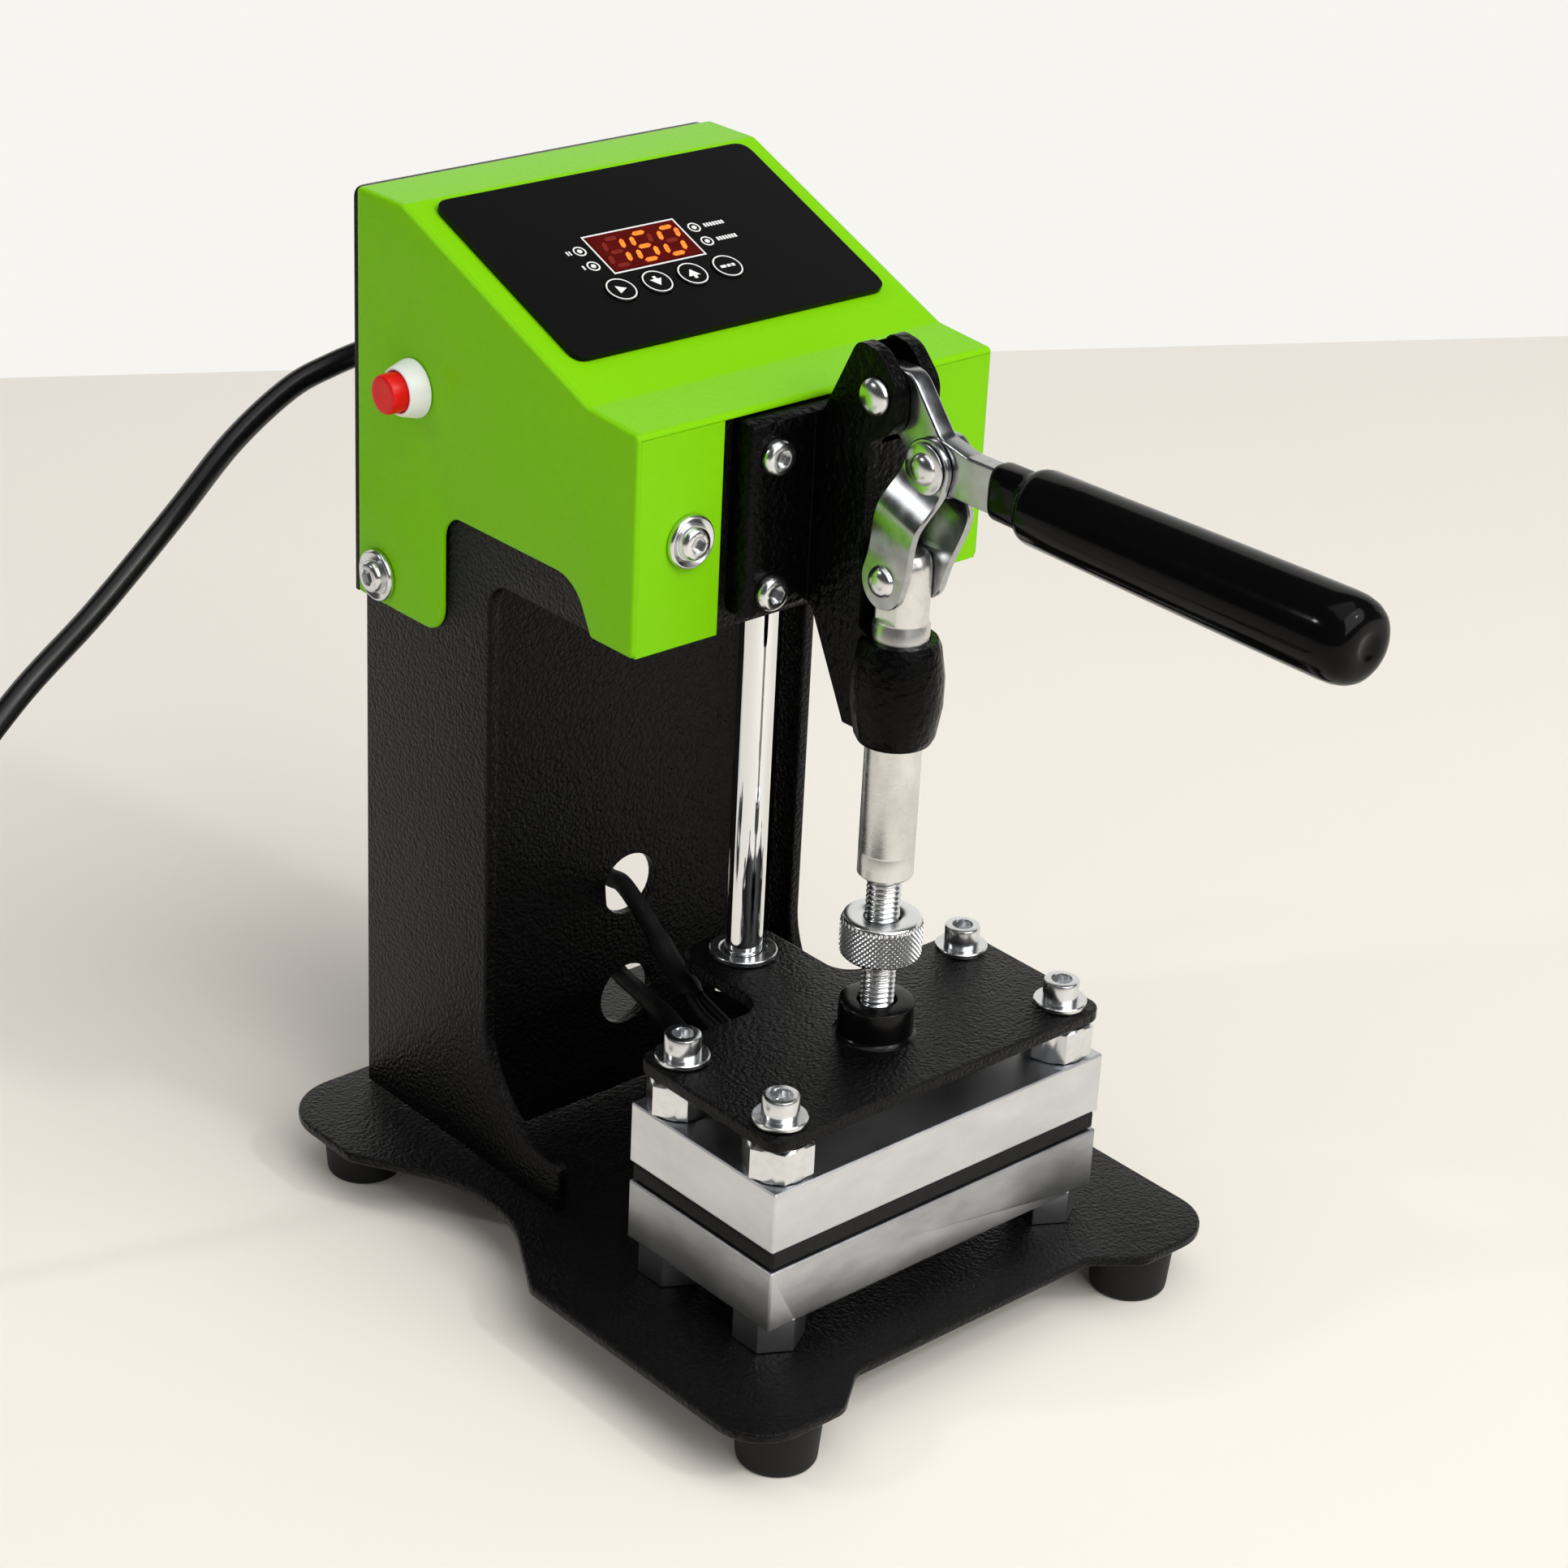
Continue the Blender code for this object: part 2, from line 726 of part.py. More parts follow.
def housing_outline():
    """Side view of the folded housing, with the arch over the frame cut out of it."""
    corners = [
        (housing_front_y, housing_front_bottom_z, 0.0),
        (housing_front_y, shelf_front_z, bend_radius),
        (slope_foot_y, slope_foot_z, bend_radius),
        (slope_top_y, housing_top_z, bend_radius),
        (housing_back_y, housing_top_z, 0.0),
        (housing_back_y, housing_back_bottom_z, 0.0),
        (arch_rear_y, housing_back_bottom_z, arch_leg_radius),
        (arch_rear_y, arch_top_z, arch_rear_radius),
        (arch_front_y, arch_top_z, arch_front_radius),
        (arch_lip_y, housing_front_bottom_z, 0.0),
    ]
    return outline(corners)


def slope_normal_drop():
    """How far a wall's thickness lowers the slope, measured straight down."""
    run = slope_top_y - slope_foot_y
    rise = housing_top_z - slope_foot_z
    return wall * math.hypot(run, rise) / run


def cavity_outline():
    """The space under the sheet, open at the back and below."""
    drop = slope_normal_drop()
    lowest = housing_back_bottom_z - overrun
    return [
        (housing_front_y + wall, lowest),
        (housing_front_y + wall, shelf_front_z - wall),
        (slope_foot_y, slope_foot_z - drop),
        (slope_top_y, housing_top_z - drop),
        (slope_top_y + (drop - wall), housing_top_z - wall),
        (housing_back_y + overrun, housing_top_z - wall),
        (housing_back_y + overrun, lowest),
    ]


def add_housing(look):
    """Green sheet metal hood, open below and at the back, with a notch for the clamp."""
    solid = prism(housing_outline(), "X", -housing_half_width, housing_half_width)
    bends = []
    for edge in solid.edges:
        middle = (edge.verts[0].co + edge.verts[1].co) / 2.0
        along_side = abs(abs(middle.x) - housing_half_width) < gap
        outside = middle.y < housing_front_y + gap or middle.z > shelf_front_z - bend_radius
        if along_side and outside and middle.y < housing_back_y - gap:
            bends.append(edge)
    bmesh.ops.bevel(solid, geom=bends, offset=bend_radius, segments=3, profile=0.5, affect="EDGES")
    housing = add_solid("housing", solid, look["green"])
    cut(housing, "housing_cavity", prism(cavity_outline(), "X", -housing_inner_half_width,
                                         housing_inner_half_width))
    cut(housing, "clamp_notch",
        block((-notch_half_width, housing_front_y - overrun, housing_front_bottom_z - overrun),
              (notch_half_width, housing_front_y + wall + gap, shelf_front_z - notch_rim)))
    cut(housing, "switch_hole",
        rod("X", (0.0, switch_y, switch_z), switch_body_radius + gap,
            -housing_half_width - overrun, -housing_inner_half_width + overrun))
    for side, x in (("left", -1.0), ("right", 1.0)):
        low, high = sorted((x * (housing_inner_half_width - overrun), x * (housing_half_width + overrun)))
        cut(housing, f"side_screw_hole_{side}",
            rod("X", (0.0, side_screw_y, side_screw_z), clamp_shank_radius + gap, low, high))
        cut(housing, f"front_screw_hole_{side}",
            rod("Y", (x * front_screw_x, 0.0, front_screw_z), clamp_shank_radius + gap,
                housing_front_y - overrun, housing_front_y + wall + overrun))


def add_back_panel(look):
    """Flat cover of the housing's open back, with the cord's hole."""
    edge = housing_half_width - panel_inset
    top = housing_top_z - panel_inset
    corners = [
        (-edge, housing_back_bottom_z, 0.0), (edge, housing_back_bottom_z, 0.0),
        (edge, top, panel_corner_radius), (-edge, top, panel_corner_radius),
    ]
    front = housing_back_y + gap
    back = front + panel_thickness
    panel = add_solid("back_panel", prism(outline(corners), "Y", front, back), look["powder_black"])
    cut(panel, "gland_hole",
        rod("Y", (gland_x, 0.0, gland_z), gland_neck_radius + gap, front - overrun, back + overrun))


def screw_profile(start, way, head_radius, head_height, shank_radius, shank_length, socket_radius,
                  socket_depth):
    """Domed screw seen from its seat: the head goes out against way, the shank along it."""
    out = -way
    return [
        (0.0, start + way * shank_length), (shank_radius, start + way * shank_length),
        (shank_radius, start), (head_radius, start),
        (head_radius, start + out * head_height / 4.0),
        (head_radius * 0.84, start + out * head_height * 0.7),
        (head_radius * 0.55, start + out * head_height),
        (socket_radius, start + out * head_height),
        (socket_radius, start + out * (head_height - socket_depth)),
        (0.0, start + out * (head_height - socket_depth)),
    ]


def cup_screw_profile(start, way):
    """Cup washer with a domed screw in it, and the shank beyond."""
    out = -way
    cup_top = start + out * cup_height
    return [
        (0.0, start + way * (wall + gap + frame_plate_thickness)),
        (clamp_shank_radius, start + way * (wall + gap + frame_plate_thickness)),
        (clamp_shank_radius, start), (cup_radius, start),
        (cup_radius, start + out * cup_rim),
        (cup_head_radius + cup_rim, cup_top), (cup_head_radius, cup_top),
        (cup_head_radius * 0.86, cup_top + out * cup_head_height * 0.6),
        (cup_head_radius * 0.55, cup_top + out * cup_head_height),
        (screw_socket_radius, cup_top + out * cup_head_height),
        (screw_socket_radius, cup_top + out * (cup_head_height - screw_socket_depth)),
        (0.0, cup_top + out * (cup_head_height - screw_socket_depth)),
    ]


def add_housing_screws(look):
    for side, x in (("left", -1.0), ("right", 1.0)):
        face = x * (housing_half_width + gap)
        solid = turned(cup_screw_profile(face, -x), "X", (0.0, side_screw_y, side_screw_z), small_segments)
        add_solid(f"side_screw_{side}", solid, look["zinc"])
        face = housing_front_y - gap
        solid = turned(cup_screw_profile(face, 1.0), "Y", (x * front_screw_x, 0.0, front_screw_z),
                       small_segments)
        add_solid(f"front_screw_{side}", solid, look["zinc"])


def ear_outline():
    """Side view of the spine with its two ears: up from the flange, round the pivot."""
    top_z = pivot_z + ear_radius + ear_head_length / 2.0
    back_y = pivot_y + ear_radius
    root_y = flange_front_y + flange_bevel
    return outline([
        (root_y, flange_bottom_z + flange_bevel, 0.0),
        (root_y, flange_top_z - flange_bevel, 0.0),
        (flange_front_y - flange_bevel, flange_top_z, ear_radius),
        (back_y, top_z, ear_radius / 2.0),
        (pivot_y, top_z - flange_bevel / 2.0, ear_radius),
        (pivot_y - ear_radius, pivot_z + ear_radius / 2.0, ear_radius),
        (pivot_y - ear_radius, pivot_z - ear_radius, ear_radius),
        (spine_front_y, pivot_z - ear_radius * 1.6, ear_radius / 2.0),
        (spine_front_y, barrel_top_z + barrel_lip, 0.0),
        (0.0, barrel_top_z - barrel_lip, 0.0),
        (0.0, barrel_bottom_z + barrel_lip, 0.0),
        (barrel_belly_radius, barrel_bottom_z + barrel_lip, 0.0),
        (rib_back_y, flange_bottom_z, 0.0),
    ], 4)


def barrel_profile():
    """Barrel-shaped guide of the plunger, with its through bore."""
    inner = plunger_radius + gap
    middle_z = (barrel_top_z + barrel_bottom_z) / 2.0
    return [
        (inner, barrel_bottom_z), (barrel_end_radius - barrel_lip / 2.0, barrel_bottom_z),
        (barrel_end_radius, barrel_bottom_z + barrel_lip), (barrel_belly_radius, middle_z - barrel_lip * 2.0),
        (barrel_belly_radius, middle_z + barrel_lip * 2.0), (barrel_end_radius, barrel_top_z - barrel_lip),
        (barrel_end_radius - barrel_lip / 2.0, barrel_top_z), (inner, barrel_top_z),
    ]


def add_clamp_body(look):
    """Black casting: flange, tapering spine, two ears and the plunger's barrel."""
    solid = block((-flange_half_width, flange_front_y, flange_bottom_z),
                  (flange_half_width, flange_back_y, flange_top_z))
    rim = [edge for edge in solid.edges
           if any(abs(vert.co.y - flange_front_y) < gap for vert in edge.verts)]
    bmesh.ops.bevel(solid, geom=rim, offset=flange_bevel, segments=2, profile=0.5, affect="EDGES")
    body = add_solid("clamp_body", solid, look["cast_black"])
    cut(body, "clamp_spine", prism(ear_outline(), "X", -spine_half_width, spine_half_width),
        operation="UNION")
    cut(body, "clamp_barrel", turned(barrel_profile(), "Z", (0.0, 0.0, 0.0), bored=True),
        operation="UNION")
    cut(body, "clamp_bore",
        rod("Z", (0.0, 0.0, 0.0), plunger_radius + gap, barrel_bottom_z - overrun,
            barrel_top_z + overrun, round_segments))
    cut(body, "ear_slot",
        block((-ear_slot_half_width, pivot_y - ear_radius - overrun, pivot_z - slot_floor_drop),
              (ear_slot_half_width, pivot_y + ear_radius + gap * 3.0,
               pivot_z + ear_radius + ear_head_length + overrun)))
    cut(body, "ear_bore",
        rod("X", (0.0, pivot_y, pivot_z), pin_radius + gap, -spine_half_width - overrun,
            spine_half_width + overrun))
    for x in (-clamp_screw_x, clamp_screw_x):
        for level, z in (("low", clamp_screw_low_z), ("high", clamp_screw_high_z)):
            side = "left" if x < 0.0 else "right"
            cut(body, f"flange_hole_{level}_{side}",
                rod("Y", (x, 0.0, z), clamp_shank_radius + gap, flange_front_y - overrun,
                    flange_back_y + overrun))


def add_clamp_screws(look):
    for side, x in (("left", -clamp_screw_x), ("right", clamp_screw_x)):
        for level, z in (("low", clamp_screw_low_z), ("high", clamp_screw_high_z)):
            profile = screw_profile(flange_front_y - gap, 1.0, clamp_screw_radius, clamp_screw_height,
                                    clamp_shank_radius, clamp_shank_length, screw_socket_radius,
                                    screw_socket_depth)
            solid = turned(profile, "Y", (x, 0.0, z), small_segments)
            add_solid(f"clamp_screw_{level}_{side}", solid, look["zinc"])


def double_headed_pin(half_length, head_radius, head_height):
    """Rivet along X with a domed head at each end."""
    end = half_length + head_height
    return [
        (0.0, -end), (head_radius * 0.6, -end), (head_radius * 0.9, -end + head_height * 0.45),
        (head_radius, -half_length), (pin_radius, -half_length),
        (pin_radius, half_length), (head_radius, half_length),
        (head_radius * 0.9, end - head_height * 0.45), (head_radius * 0.6, end), (0.0, end),
    ]


def add_pins(look):
    profile = double_headed_pin(spine_half_width + gap, pin_head_radius, pin_head_height)
    add_solid("upper_pivot_pin", turned(profile, "X", (0.0, pivot_y, pivot_z), small_segments),
              look["zinc"])
    reach = lever_half_thickness + gap + link_thickness + gap
    profile = double_headed_pin(reach, pin_head_radius, pin_head_height)
    add_solid("knee_pin", turned(profile, "X", (0.0, knee_y, knee_z), small_segments),
              look["zinc"], "knee_pivot")


def add_plunger(look):
    """Steel plunger: a bored shaft below, a flat tang between the links above."""
    bore = stud_radius + gap
    bore_top = plunger_bottom_z + stud_engagement + adjuster_travel + gap
    top = lower_pivot_z + tang_rise
    profile = [
        (0.0, bore_top), (bore, bore_top), (bore, plunger_bottom_z),
        (plunger_radius - edge_break, plunger_bottom_z), (plunger_radius, plunger_bottom_z + edge_break),
        (plunger_radius, tang_bottom_z - edge_break), (plunger_neck_radius, tang_bottom_z),
        (plunger_neck_radius, top - tang_chamfer), (plunger_neck_radius - tang_chamfer, top), (0.0, top),
    ]
    plunger = add_solid("plunger", turned(profile, "Z", (0.0, 0.0, 0.0)), look["steel"], "plunger_axis")
    for side, x in (("left", -1.0), ("right", 1.0)):
        low, high = sorted((x * tang_half_thickness, x * (plunger_radius + overrun)))
        cut(plunger, f"tang_flat_{side}",
            block((low, -plunger_radius - overrun, tang_bottom_z + edge_break),
                  (high, plunger_radius + overrun, top + overrun)), "plunger_axis")


def lever_outline():
    """Bent bar: an eye on the upper pivot, an eye at the knee, and the handle's bar."""
    bar_top = knee_z + lever_bar_half_height
    bar_bottom = knee_z - lever_bar_half_height
    end_y = grip_back_y + grip_neck_length - lever_bite
    knee_low = knee_z - lever_eye_radius
    return outline([
        (pivot_y + lever_eye_radius, pivot_z + lever_eye_radius, lever_eye_radius),
        (pivot_y - lever_eye_radius, pivot_z + lever_eye_radius, lever_eye_radius),
        (knee_y - lever_corner, bar_top + lever_corner, lever_corner * 2.0),
        (knee_y - lever_eye_radius * 1.6, bar_top, lever_corner * 2.0),
        (end_y, bar_top, 0.0),
        (end_y, bar_bottom, 0.0),
        (knee_y - lever_eye_radius, bar_bottom, lever_corner * 2.0),
        (knee_y - lever_eye_radius / 2.0, knee_low, lever_corner),
        (knee_y + lever_eye_radius, knee_low, lever_eye_radius),
        (knee_y + lever_eye_radius * 1.4, knee_z + lever_eye_radius / 2.0, lever_eye_radius),
        (pivot_y + lever_eye_radius, pivot_z - lever_eye_radius, lever_eye_radius),
    ], 5)


def add_handle(look):
    solid = prism(lever_outline(), "X", -lever_half_thickness, lever_half_thickness)
    lever = add_solid("handle_lever", solid, look["zinc"], "handle_pivot")
    for name, y, z in (("pivot", pivot_y, pivot_z), ("knee", knee_y, knee_z)):
        cut(lever, f"lever_{name}_hole",
            rod("X", (0.0, y, z), pin_radius + gap, -lever_half_thickness - overrun,
                lever_half_thickness + overrun), "handle_pivot")

    length = grip_back_y - grip_front_y
    neck_end = grip_back_y + grip_neck_length
    step = grip_front_radius / 4.0
    profile = [
        (0.0, grip_back_y + step / 2.0), (grip_neck_half_height - edge_break, grip_back_y + step / 2.0),
        (grip_back_radius - edge_break, grip_back_y - step / 2.0), (grip_back_radius, grip_back_y - step * 1.5),
        (grip_front_radius, grip_front_y + length * 0.12), (grip_front_radius * 0.96, grip_front_y + step * 1.4),
        (grip_front_radius * 0.8, grip_front_y + step * 0.5), (grip_front_radius * 0.5, grip_front_y),
        (grip_front_radius * 0.18, grip_front_y), (0.0, grip_front_y + step * 0.3),
    ]
    grip = add_solid("handle_grip", turned(profile, "Y", (0.0, 0.0, knee_z)), look["vinyl"], "handle_pivot")
    corners = [(-grip_neck_half_width, knee_z - grip_neck_half_height, grip_neck_half_width),
               (grip_neck_half_width, knee_z - grip_neck_half_height, grip_neck_half_width),
               (grip_neck_half_width, knee_z + grip_neck_half_height, grip_neck_half_width),
               (-grip_neck_half_width, knee_z + grip_neck_half_height, grip_neck_half_width)]
    cut(grip, "grip_neck", prism(outline(corners, 4), "Y", grip_back_y - step, neck_end),
        "handle_pivot", "UNION")
    cut(grip, "grip_socket",
        block((-lever_half_thickness - gap, neck_end - lever_bite - gap, knee_z - lever_bar_half_height - gap),
              (lever_half_thickness + gap, neck_end + overrun, knee_z + lever_bar_half_height + gap)),
        "handle_pivot")


def ease(share):
    share = min(1.0, max(0.0, share))
    return share * share * (3.0 - 2.0 * share)


def add_links(look):
    """Two bowed strips from the knee to the plunger's tang, riveted at the lower end."""
    top = Vector((knee_y, knee_z))
    bottom = Vector((0.0, lower_pivot_z))
    along = (bottom - top).normalized()
    across = Vector((-along.y, along.x))
    length = (bottom - top).length
    near_top = lever_half_thickness + gap
    near_bottom = tang_half_thickness + gap
    places = []
    for step in range(5):
        turn = math.radians(15.0 + 75.0 * step / 4.0)
        places.append((-link_half_width * math.cos(turn), link_half_width * math.sin(turn)))
    for step in range(1, 12):
        places.append((length * step / 12.0, link_half_width))
    for step in range(5):
        turn = math.radians(90.0 - 75.0 * step / 4.0)
        places.append((length + link_half_width * math.cos(turn), link_half_width * math.sin(turn)))
    for side, way in (("left", -1.0), ("right", 1.0)):
        mesh_edit = bmesh.new()
        rings = []
        for reach, half in places:
            rise = ease((reach / length - 0.14) / 0.34)
            fall = ease((reach / length - 0.56) / 0.3)
            inner = near_top + (link_bow - near_top) * rise + (near_bottom - link_bow) * fall
            centre = top + along * reach
            ring = []
            for x, offset in ((inner, -half), (inner, half), (inner + link_thickness, half),
                              (inner + link_thickness, -half)):
                point = centre + across * offset
                ring.append(mesh_edit.verts.new((way * x, point.x, point.y)))
            rings.append(ring)
        for low, high in zip(rings, rings[1:]):
            bridge(mesh_edit, low, high)
        mesh_edit.faces.new(rings[0])
        mesh_edit.faces.new(rings[-1])
        link = add_solid(f"link_{side}", mesh_edit, look["zinc"], "knee_pivot")
        low, high = sorted((0.0, way * (link_bow + overrun)))
        cut(link, f"link_hole_{side}",
            rod("X", (0.0, knee_y, knee_z), pin_radius + gap, low, high), "knee_pivot")
        seat = way * (near_bottom + link_thickness / 2.0)
        crown = way * (near_bottom + link_thickness + link_head_height)
        shoulder = way * (near_bottom + link_thickness + link_head_height * 0.5)
        head = [(0.0, seat), (link_head_radius, seat), (link_head_radius * 0.9, shoulder),
                (link_head_radius * 0.55, crown), (0.0, crown)]
        cut(link, f"link_rivet_{side}",
            turned(head, "X", (0.0, 0.0, lower_pivot_z), small_segments), "knee_pivot", "UNION")


def add_adjuster(look):
    low = collar_top_z - collar_bore_depth + gap
    high = plunger_bottom_z + stud_engagement
    profile = [(0.0, low), (stud_radius - edge_break, low), (stud_radius, low + edge_break),
               (stud_radius, high - edge_break), (stud_radius - edge_break, high), (0.0, high)]
    add_solid("adjuster_stud", turned(profile, "Z", (0.0, 0.0, 0.0)), look["zinc"], "plunger_axis")
    inner = stud_radius + gap
    profile = [(inner, nut_bottom_z), (nut_radius - nut_chamfer, nut_bottom_z),
               (nut_radius, nut_bottom_z + nut_chamfer), (nut_radius, nut_top_z - nut_chamfer),
               (nut_radius - nut_chamfer, nut_top_z), (inner, nut_top_z)]
    add_solid("knurled_nut", turned(profile, "Z", (0.0, 0.0, 0.0), 36, bored=True), look["zinc"],
              "plunger_axis")


def bolt_places():
    places = []
    for end, y in (("front", -bolt_pitch_y / 2.0), ("back", bolt_pitch_y / 2.0)):
        for side, x in (("left", -bolt_pitch_x / 2.0), ("right", bolt_pitch_x / 2.0)):
            places.append((f"{end}_{side}", x, y))
    return places


def add_pressure_plate(look):
    """Steel plate with a welded collar for the stud and a tongue for the guide rod."""
    half = [
        (plate_half_width, -plate_half_depth, plate_corner_radius),
        (plate_half_width, plate_half_depth, plate_corner_radius),
        (tongue_half_width, plate_half_depth, tongue_fillet),
        (tongue_half_width, tongue_back_y, tongue_corner_radius),
    ]
    solid = prism(outline(mirror_outline(half)), "Z", plate_bottom_z, plate_top_z)
    plate = add_solid("pressure_plate", solid, look["powder_black"], "plunger_axis")
    inner = stud_radius + gap
    floor = collar_top_z - collar_bore_depth
    profile = [(0.0, plate_top_z - plate_thickness / 2.0), (collar_radius, plate_top_z - plate_thickness / 2.0),
               (collar_radius, collar_top_z - edge_break), (collar_radius - edge_break, collar_top_z),
               (inner, collar_top_z), (inner, floor), (0.0, floor)]
    cut(plate, "plate_collar", turned(profile, "Z", (0.0, 0.0, 0.0)), "plunger_axis", "UNION")
    for name, x, y in bolt_places():
        cut(plate, f"plate_hole_{name}",
            rod("Z", (x, y, 0.0), bolt_shank_radius + gap, plate_bottom_z - overrun,
                plate_top_z + overrun), "plunger_axis")
    cut(plate, "plate_hole_rod",
        rod("Z", (0.0, rod_y, 0.0), rod_radius + gap, plate_bottom_z - overrun,
            plate_top_z + overrun, round_segments), "plunger_axis")


def add_guide_rod(look):
    """Chromed rod through the tongue, with its nut underneath and a washer on top."""
    nut_top = plate_bottom_z - gap
    solid = prism(hexagon(0.0, rod_y, rod_nut_across), "Z", nut_top - rod_nut_height, nut_top)
    guide = add_solid("guide_rod", solid, look["chrome"], "plunger_axis")
    low = nut_top - rod_nut_height / 2.0
    profile = [(0.0, low), (rod_radius, low), (rod_radius, rod_top_z - edge_break),
               (rod_radius - edge_break, rod_top_z), (0.0, rod_top_z)]
    cut(guide, "rod_shaft", turned(profile, "Z", (0.0, rod_y, 0.0)), "plunger_axis", "UNION")
    inner = rod_radius + gap
    low = plate_top_z + gap
    high = low + rod_washer_height
    profile = [(inner, low), (rod_washer_radius, low), (rod_washer_radius, high), (inner, high)]
    add_solid("rod_washer", turned(profile, "Z", (0.0, rod_y, 0.0), bored=True), look["zinc"],
              "plunger_axis")


def add_platen_bolts(look):
    for name, x, y in bolt_places():
        seat = plate_top_z + gap
        under_head = seat + bolt_washer_height
        top = under_head + bolt_head_height
        low = upper_platen_top_z - bolt_bite
        profile = [
            (0.0, low), (bolt_shank_radius, low), (bolt_shank_radius, seat), (bolt_washer_radius, seat),
            (bolt_washer_radius, under_head), (bolt_head_radius, under_head),
            (bolt_head_radius, top - edge_break), (bolt_head_radius - edge_break, top),
            (bolt_socket_radius, top), (bolt_socket_radius, top - bolt_socket_depth),
            (0.0, top - bolt_socket_depth),
        ]
        solid = turned(profile, "Z", (x, y, 0.0), small_segments)
        add_solid(f"platen_bolt_{name}", solid, look["zinc"], "plunger_axis")
        high = standoff_bottom_z + standoff_height
        spacer = add_solid(f"standoff_{name}", prism(hexagon(x, y, hexagon_across), "Z",
                                                     standoff_bottom_z, high),
                           look["zinc"], "plunger_axis")
        cut(spacer, f"standoff_hole_{name}",
            rod("Z", (x, y, 0.0), bolt_shank_radius + gap, standoff_bottom_z - overrun, high + overrun),
            "plunger_axis")


def add_platens(look):
    """Two milled aluminium heater blocks and the pad between them."""
    half_width = platen_width / 2.0
    half_depth = platen_depth / 2.0
    upper = add_solid("upper_platen",
                      block((-half_width, -half_depth, upper_platen_bottom_z),
                            (half_width, half_depth, upper_platen_top_z)),
                      look["aluminium"], "plunger_axis")
    round_edges(upper, edge_break / 2.0, 1)
    for name, x, y in bolt_places():
        cut(upper, f"platen_hole_{name}",
            rod("Z", (x, y, 0.0), bolt_shank_radius + gap, upper_platen_top_z - bolt_bite - gap,
                upper_platen_top_z + overrun), "plunger_axis")
    lower = add_solid("lower_platen",
                      block((-half_width, -half_depth, lower_platen_bottom_z),
                            (half_width, half_depth, lower_platen_top_z)),
                      look["aluminium"])
    round_edges(lower, edge_break / 2.0, 1)
    for name, x, y in bolt_places():
        cut(lower, f"leg_{name}",
            prism(hexagon(x, y, hexagon_across), "Z", base_top_z + gap, lower_platen_bottom_z + edge_break),
            operation="UNION")
    side = half_width - pad_overhang / 2.0
    front = half_depth - pad_overhang / 2.0
    pad = add_solid("platen_pad", block((-side, -front, pad_bottom_z), (side, front, pad_top_z)),
                    look["silicone"])
    round_edges(pad, edge_break, 1)


def add_panel(look):
    """Membrane overlay on the slope, with its window, its keys and the board behind."""
    corners = [
        (-overlay_half_width, overlay_low, overlay_corner_radius),
        (overlay_half_width, overlay_low, overlay_corner_radius),
        (overlay_half_width, overlay_high, overlay_corner_radius),
        (-overlay_half_width, overlay_high, overlay_corner_radius),
    ]
    low = gap
    high = gap + overlay_thickness
    overlay = add_solid("overlay_panel", prism(outline(corners), "Z", low, high), look["overlay"], PANEL)
    left = display_x - display_half_width
    right = display_x + display_half_width
    front = display_y - display_half_height
    back = display_y + display_half_height
    cut(overlay, "display_recess",
        block((left - gap, front - gap, low - overrun), (right + gap, back + gap, high + overrun)), PANEL)
    window_low = high + gap - display_thickness
    add_solid("display_window", block((left, front, window_low), (right, back, high + gap)),
              look["display"], PANEL, smooth=False)
    for index in range(key_count):
        x = key_middle_x + (index - (key_count - 1) / 2.0) * key_pitch
        cut(overlay, f"key_recess_{index + 1}",
            rod("Z", (x, key_y, 0.0), key_radius + gap, low - overrun, high + overrun), PANEL)
        top = high + key_proud
        profile = [(0.0, top - key_height), (key_radius, top - key_height), (key_radius, top - key_height / 4.0),
                   (key_radius - key_height / 4.0, top), (0.0, top)]
        add_solid(f"key_{index + 1}", turned(profile, "Z", (x, key_y, 0.0), small_segments),
                  look["key"], PANEL)
    post_top = -wall - gap
    board_top = post_top - board_post_height
    board = add_solid("control_board",
                      block((-board_half_width, board_low, board_top - board_thickness),
                            (board_half_width, board_high, board_top)), look["board"], PANEL, smooth=False)
    for x in (-board_half_width + board_post_inset, board_half_width - board_post_inset):
        for y in (board_low + board_post_inset, board_high - board_post_inset):
            cut(board, f"board_post_{x > 0.0}_{y > display_y}",
                rod("Z", (x, y, 0.0), board_post_radius, board_top - board_thickness / 2.0, post_top, 12),
                PANEL, "UNION")


def add_switch(look):
    """Push switch on the left wall: white bezel outside, body inside, red button."""
    centre = (0.0, switch_y, switch_z)
    seat = -housing_half_width - gap
    mouth = seat - switch_height
    floor = mouth + button_length - button_proud + button_travel + gap
    inner = button_radius + gap
    profile = [
        (0.0, floor), (inner, floor), (inner, mouth), (switch_mouth_radius, mouth),
        (switch_rim_radius, seat - edge_break), (switch_rim_radius, seat),
        (switch_body_radius, seat), (switch_body_radius, seat + switch_body_length),
        (0.0, seat + switch_body_length),
    ]
    add_solid("switch_bezel", turned(profile, "X", centre), look["white"])
    tip = mouth - button_proud
    profile = [(0.0, tip), (button_radius - button_edge, tip), (button_radius, tip + button_edge),
               (button_radius, tip + button_length), (0.0, tip + button_length)]
    add_solid("switch_button", turned(profile, "X", centre), look["red"], "button_axis")


